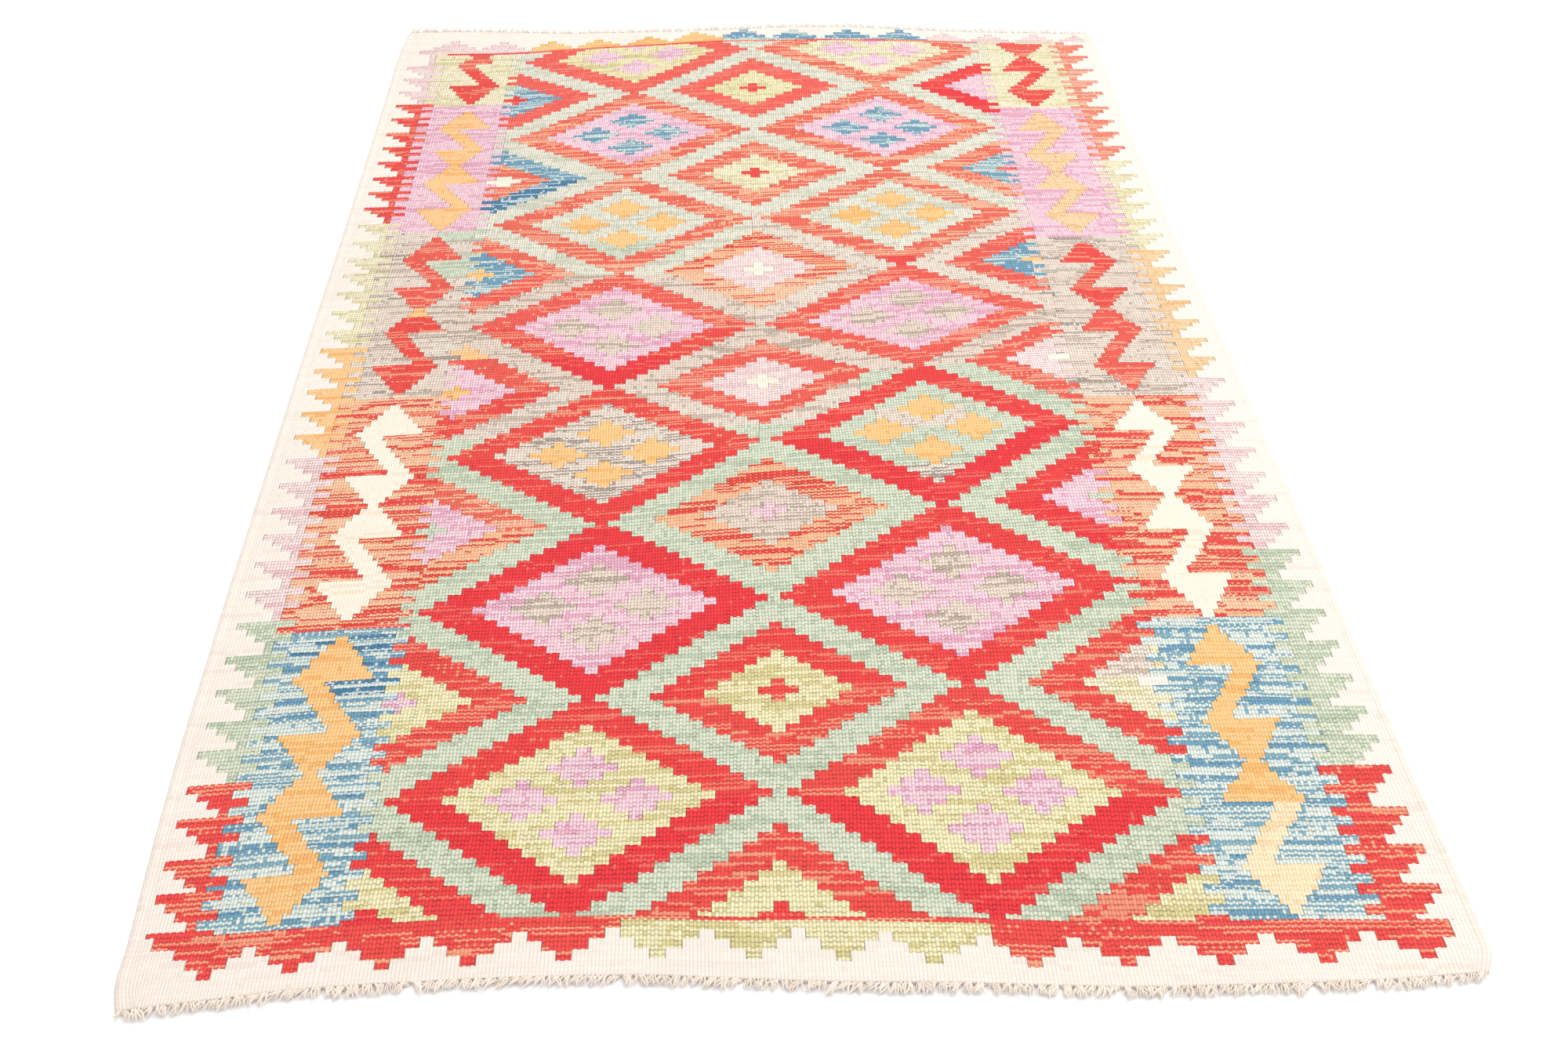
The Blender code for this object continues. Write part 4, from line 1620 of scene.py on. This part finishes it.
strands = new_node(tree, "GeometryNodeJoinGeometry")
circle = link(given.outputs["Yarn radius"], new_node(tree, "GeometryNodeCurvePrimitiveCircle"), "Radius")
circle.inputs["Resolution"].default_value = YARN_SIDES
yarn_length = given.outputs["Length"]
along_yarn = new_node(tree, "GeometryNodeSplineParameter").outputs["Factor"]
narrowing = maths(tree, "MULTIPLY", maths(tree, "POWER", along_yarn, 3.0), TIP_LOSS)
taper = maths(tree, "SUBTRACT", ROOT_WIDTH, narrowing)
for bend, lift in YARN_BENDS:
    yarn = new_node(tree, "GeometryNodeCurveQuadraticBezier")
    yarn.inputs["Resolution"].default_value = YARN_STEPS
    yarn.inputs["Start"].default_value = (0.0, 0.0, ROOT_HEIGHT)
    yarn.inputs["Middle"].default_value = (bend * MIDDLE_BEND, -0.5, LIFTED_HEIGHT * lift)
    yarn.inputs["End"].default_value = (bend * TIP_BEND, -1.0, TIP_HEIGHT)
    scaled = link(yarn.outputs[0], new_node(tree, "GeometryNodeTransform"), "Geometry")
    link(vector_of(tree, yarn_length, yarn_length, 1.0), scaled, "Scale")
    body = link(scaled.outputs[0], new_node(tree, "GeometryNodeCurveToMesh"), "Curve")
    body.inputs["Fill Caps"].default_value = True
    link(circle.outputs["Curve"], body, "Profile Curve")
    link(taper, body, "Scale")
    whole = link(body.outputs[0], new_node(tree, "GeometryNodeGeometryToInstance"), "Geometry")
    tree.links.new(whole.outputs[0], strands.inputs[0])
print("yarns:", len(YARN_BENDS), "bends")

# %% Tree of the warp ends: where each yarn starts
# metres from the middle of the knot: along the end, into the knot, and up
YARN_ALONG = 0.0034
YARN_INWARD = (-0.0003, 0.0014)
YARN_RAISED = 0.0012

many = link(knot_points, new_node(tree, "GeometryNodeDuplicateElements", domain="POINT"), "Geometry")
link(given.outputs["Yarns"], many, "Amount")
along = random_value(-YARN_ALONG, YARN_ALONG, 5)
inward = maths(tree, "MULTIPLY", given.outputs["Side"], random_value(*YARN_INWARD, 12))
shift = link(many.outputs["Geometry"], new_node(tree, "GeometryNodeSetPosition"), "Geometry")
link(vector_of(tree, along, inward, random_value(0.0, YARN_RAISED, 6)), shift, "Offset")
point_number = new_node(tree, "GeometryNodeInputIndex").outputs[0]
knot_number = maths(tree, "FLOOR", maths(tree, "DIVIDE", point_number, given.outputs["Yarns"]))
print("yarn roots:", len(tree.nodes), "nodes so far")

# %% Tree of the warp ends: how each yarn lies
# how much a yarn and its knot turn to the side, and the ranges of their lengths
OWN_SWING, KNOT_SWING = 0.75, 0.6
OWN_STRETCH, KNOT_STRETCH = (0.66, 1.1), (0.82, 1.08)

own_swing = maths(tree, "MULTIPLY", random_value(-1.0, 1.0, 8), OWN_SWING)
knot_swing = maths(tree, "MULTIPLY", random_value(-1.0, 1.0, 10, number=knot_number), KNOT_SWING)
both_swings = maths(tree, "ADD", own_swing, knot_swing)
both_swings = maths(tree, "MULTIPLY", given.outputs["Spread"], both_swings)
swing = maths(tree, "ADD", given.outputs["Lean"], both_swings)
other_side = maths(tree, "SUBTRACT", 1.0, given.outputs["Side"])
turn = maths(tree, "ADD", swing, maths(tree, "MULTIPLY", other_side, math.pi / 2))
knot_stretch = random_value(*KNOT_STRETCH, 11, number=knot_number)
stretch = maths(tree, "MULTIPLY", random_value(*OWN_STRETCH, 9), knot_stretch)
on_yarns = place_on(shift.outputs["Geometry"], strands.outputs[0],
                    vector_of(tree, stretch, stretch, 1.0), vector_of(tree, 0.0, 0.0, turn))
on_yarns.inputs["Pick Instance"].default_value = True
link(random_value(0, len(YARN_BENDS) - 1, 7, "INT"), on_yarns, "Instance Index")
print("yarns:", len(tree.nodes), "nodes so far")

# %% Tree of the warp ends: real, above the floor, in their material
LOWEST = 0.0001

joined = new_node(tree, "GeometryNodeJoinGeometry")
tree.links.new(on_knots.outputs[0], joined.inputs[0])
tree.links.new(on_yarns.outputs[0], joined.inputs[0])
real = link(joined.outputs[0], new_node(tree, "GeometryNodeRealizeInstances"), "Geometry")
where = new_node(tree, "ShaderNodeSeparateXYZ")
tree.links.new(new_node(tree, "GeometryNodeInputPosition").outputs[0], where.inputs[0])
above_floor = maths(tree, "MAXIMUM", where.outputs[2], LOWEST)
on_floor = link(real.outputs[0], new_node(tree, "GeometryNodeSetPosition"), "Geometry")
link(vector_of(tree, where.outputs[0], where.outputs[1], above_floor), on_floor, "Position")
smooth = link(on_floor.outputs[0], new_node(tree, "GeometryNodeSetShadeSmooth"), "Geometry")
dressed = link(smooth.outputs[0], new_node(tree, "GeometryNodeSetMaterial"), "Geometry")
link(given.outputs["Material"], dressed, "Material")
tree.links.new(dressed.outputs[0], result.inputs[0])
print("tree:", tree.name, "with", len(tree.nodes), "nodes")

# %% [markdown]
# The warp yarn is undyed cotton: cream, twisted, and a little dirty where it has been
# trodden on. A fine noise stands for its fibres and a stretched one for its twist. The
# colour is darker in the low parts of the twist, which is painted shade between the plies,
# and in random patches, which is dirt.

# %% Material: cream warp yarn
TWIST_TURN = 0.7
TWIST_SCALES = (900.0, 260.0, 260.0)
PATCH_SCALE = 60.0
DIRTY_AND_SHADED_CREAM, CLEAN_AND_LIT_CREAM = (206, 188, 173), (248, 238, 227)

warp_yarn = bpy.data.materials.new("cream_warp_yarn")
warp_yarn.use_nodes = True
tree = warp_yarn.node_tree
shader = tree.nodes["Principled BSDF"]
place = new_node(tree, "ShaderNodeTexCoord").outputs["Object"]
twist_map = new_node(tree, "ShaderNodeMapping")
twist_map.inputs["Rotation"].default_value = (0.0, 0.0, TWIST_TURN)
twist_map.inputs["Scale"].default_value = TWIST_SCALES
tree.links.new(place, twist_map.inputs["Vector"])
twist = noise_at(tree, twist_map.outputs[0], 1.0, 2.0)
patch = noise_at(tree, place, PATCH_SCALE, 3.0)
# darker in the low parts of the twist, as painted shade between the plies, and in random patches of dirt
shade = maths(tree, "MULTIPLY_ADD", twist, 0.5, maths(tree, "MULTIPLY", patch, 0.5))
colour = blend(tree, shade, linear(DIRTY_AND_SHADED_CREAM), linear(CLEAN_AND_LIT_CREAM))
tree.links.new(colour, shader.inputs["Base Color"])
add_bump(twist, 0.4, 0.0004)
roughness = maths(tree, "MULTIPLY_ADD", patch, 0.1, 0.84)
tree.links.new(roughness, shader.inputs["Roughness"])
shader.inputs["Specular IOR Level"].default_value = 0.2
shader.inputs["Sheen Weight"].default_value = 0.1
print("material:", warp_yarn.name)

# %% [markdown]
# The tree is used twice, as a modifier on a line of points that runs along the cloth's end.
# The far row gets longer, fewer and straighter yarns. What the modifier makes is then kept
# as a plain mesh, and the line goes.

# %% Make both rows of warp ends
# mm from the long edges to the first knot's line, and from the cloth's end to the line
END_MARGIN = 6.0
EDGE_GAP = 0.9
EDGE_POINTS = 160
EDGE_HEIGHT = 0.0016


def warp_ends(name, far, **settings):
    """One end's knots and cut yarns, made by the tree and kept as a plain mesh."""
    left = PLAN_LEFT + SIDE_INSETS[0][1] + END_MARGIN
    right = PLAN_RIGHT - SIDE_INSETS[0][2] - END_MARGIN
    x = np.linspace(left, right, EDGE_POINTS)
    y = end_edges(x)[int(far)] + (EDGE_GAP if far else -EDGE_GAP)
    line_x, line_y = to_world(x, y)
    mesh = bpy.data.meshes.new(name + "_line")
    line_points = [(float(a), float(b), EDGE_HEIGHT) for a, b in zip(line_x, line_y)]
    mesh.from_pydata(line_points, [(i, i + 1) for i in range(EDGE_POINTS - 1)], [])
    line = bpy.data.objects.new(name + "_line", mesh)
    bpy.context.scene.collection.objects.link(line)
    modifier = line.modifiers.new("Warp ends", "NODES")
    modifier.node_group = ends_tree
    for title, value in settings.items():
        modifier[inputs[title.replace("_", " ")]] = value
    modifier[inputs["Material"]] = warp_yarn
    view = bpy.context.evaluated_depsgraph_get()
    made = bpy.data.meshes.new_from_object(
        line.evaluated_get(view), preserve_all_data_layers=True, depsgraph=view)
    line.modifiers.clear()
    bpy.data.objects.remove(line, do_unlink=True)
    made.name = name
    piece = bpy.data.objects.new(name, made)
    bpy.context.scene.collection.objects.link(piece)
    print(name, "has", len(made.polygons), "faces")
    return piece


near_ends = warp_ends("warp_ends_near", False, Length=0.0092, Lean=-0.3, Spread=0.9, Yarns=9,
                      Yarn_radius=0.00078, Seed=4, Side=1.0)
far_ends = warp_ends("warp_ends_far", True, Length=0.0142, Lean=0.1, Spread=0.35, Yarns=7,
                     Seed=9, Side=-1.0)

# %% [markdown]
# ## Floor, light and camera
#
# The rug lies on a plain white floor in very even light, so there are hardly any shadows.
# The camera stands close to the near end, at about a metre high, and looks down at 43
# degrees with a wide lens. That is why the near end looks almost twice as wide as the far.

# %% Floor
REACH = 12.0
BELOW_RUG = 0.0004

floor_mesh = bpy.data.meshes.new("floor")
floor_corners = [(REACH * x, REACH * y, 0.0) for x, y in ((-1, -1), (1, -1), (1, 1), (-1, 1))]
floor_mesh.from_pydata(floor_corners, [], [(0, 1, 2, 3)])
floor = bpy.data.objects.new("floor", floor_mesh)
floor.location.z = -BELOW_RUG
bpy.context.scene.collection.objects.link(floor)
paint = bpy.data.materials.new("white_floor")
paint.use_nodes = True
tree = paint.node_tree
shader = tree.nodes["Principled BSDF"]
place = new_node(tree, "ShaderNodeTexCoord").outputs["Object"]
speck = noise_at(tree, place, 3.0, 3.0)
tree.links.new(blend(tree, speck, (0.90,) * 3, (0.94,) * 3), shader.inputs["Base Color"])
shader.inputs["Roughness"].default_value = 0.9
shader.inputs["Specular IOR Level"].default_value = 0.1
floor_mesh.materials.append(paint)

# %% Light
world = bpy.data.worlds.new("even_light")
world.use_nodes = True
world.node_tree.nodes["Background"].inputs["Color"].default_value = (1.0, 1.0, 1.0, 1.0)
world.node_tree.nodes["Background"].inputs["Strength"].default_value = 0.95
bpy.context.scene.world = world
soft = bpy.data.lights.new("soft_box", "AREA")
soft.shape = "RECTANGLE"
soft.size, soft.size_y = 3.0, 2.0
soft.energy = 70.0
lamp = bpy.data.objects.new("soft_box", soft)
lamp.location = (1.2, 0.6, 2.8)
lamp.rotation_euler = (math.radians(-12), math.radians(23), 0.0)
bpy.context.scene.collection.objects.link(lamp)
bpy.context.scene.view_settings.view_transform = "Standard"
bpy.context.scene.view_settings.exposure = 0.0
print("light set")

# %% Camera
LENS, SENSOR_WIDTH = 35.0, 36.0
PITCH, YAW, ROLL = math.radians(42.99), math.radians(-3.9), math.radians(1.86)
CAMERA_X, CAMERA_BACK, CAMERA_HEIGHT = -0.0758, 0.5878, 1.0382

camera_data = bpy.data.cameras.new("camera")
camera_data.lens, camera_data.sensor_width = LENS, SENSOR_WIDTH
camera = bpy.data.objects.new("camera", camera_data)
forward = np.array([-math.sin(YAW) * math.cos(PITCH), math.cos(YAW) * math.cos(PITCH), -math.sin(PITCH)])
level = np.cross(forward, [0.0, 0.0, 1.0])
level /= np.linalg.norm(level)
raised = np.cross(level, forward)
right = math.cos(ROLL) * level + math.sin(ROLL) * raised
up = np.cross(right, forward)
bpy.context.scene.collection.objects.link(camera)
turned = Matrix(np.column_stack([right, up, -forward]).tolist()).to_4x4()
camera_place = (CAMERA_X, cloth_low[1] - CAMERA_BACK, CAMERA_HEIGHT)
camera.matrix_world = Matrix.Translation(camera_place) @ turned
bpy.context.scene.camera = camera
print("camera at", [round(v, 3) for v in camera.location])

# %% [markdown]
# ## Hand over
#
# The rug stands for the cloth solid, and the two rows of warp ends stand for the fringe
# solids.

# %% Attach the pieces and hide the solids
for piece, node, slot in (
        (rug, "cloth", "kilim_cloth"),
        (near_ends, "fringe_near", "warp_yarn"),
        (far_ends, "fringe_far", "warp_yarn")):
    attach(piece, "root")
    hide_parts(node)
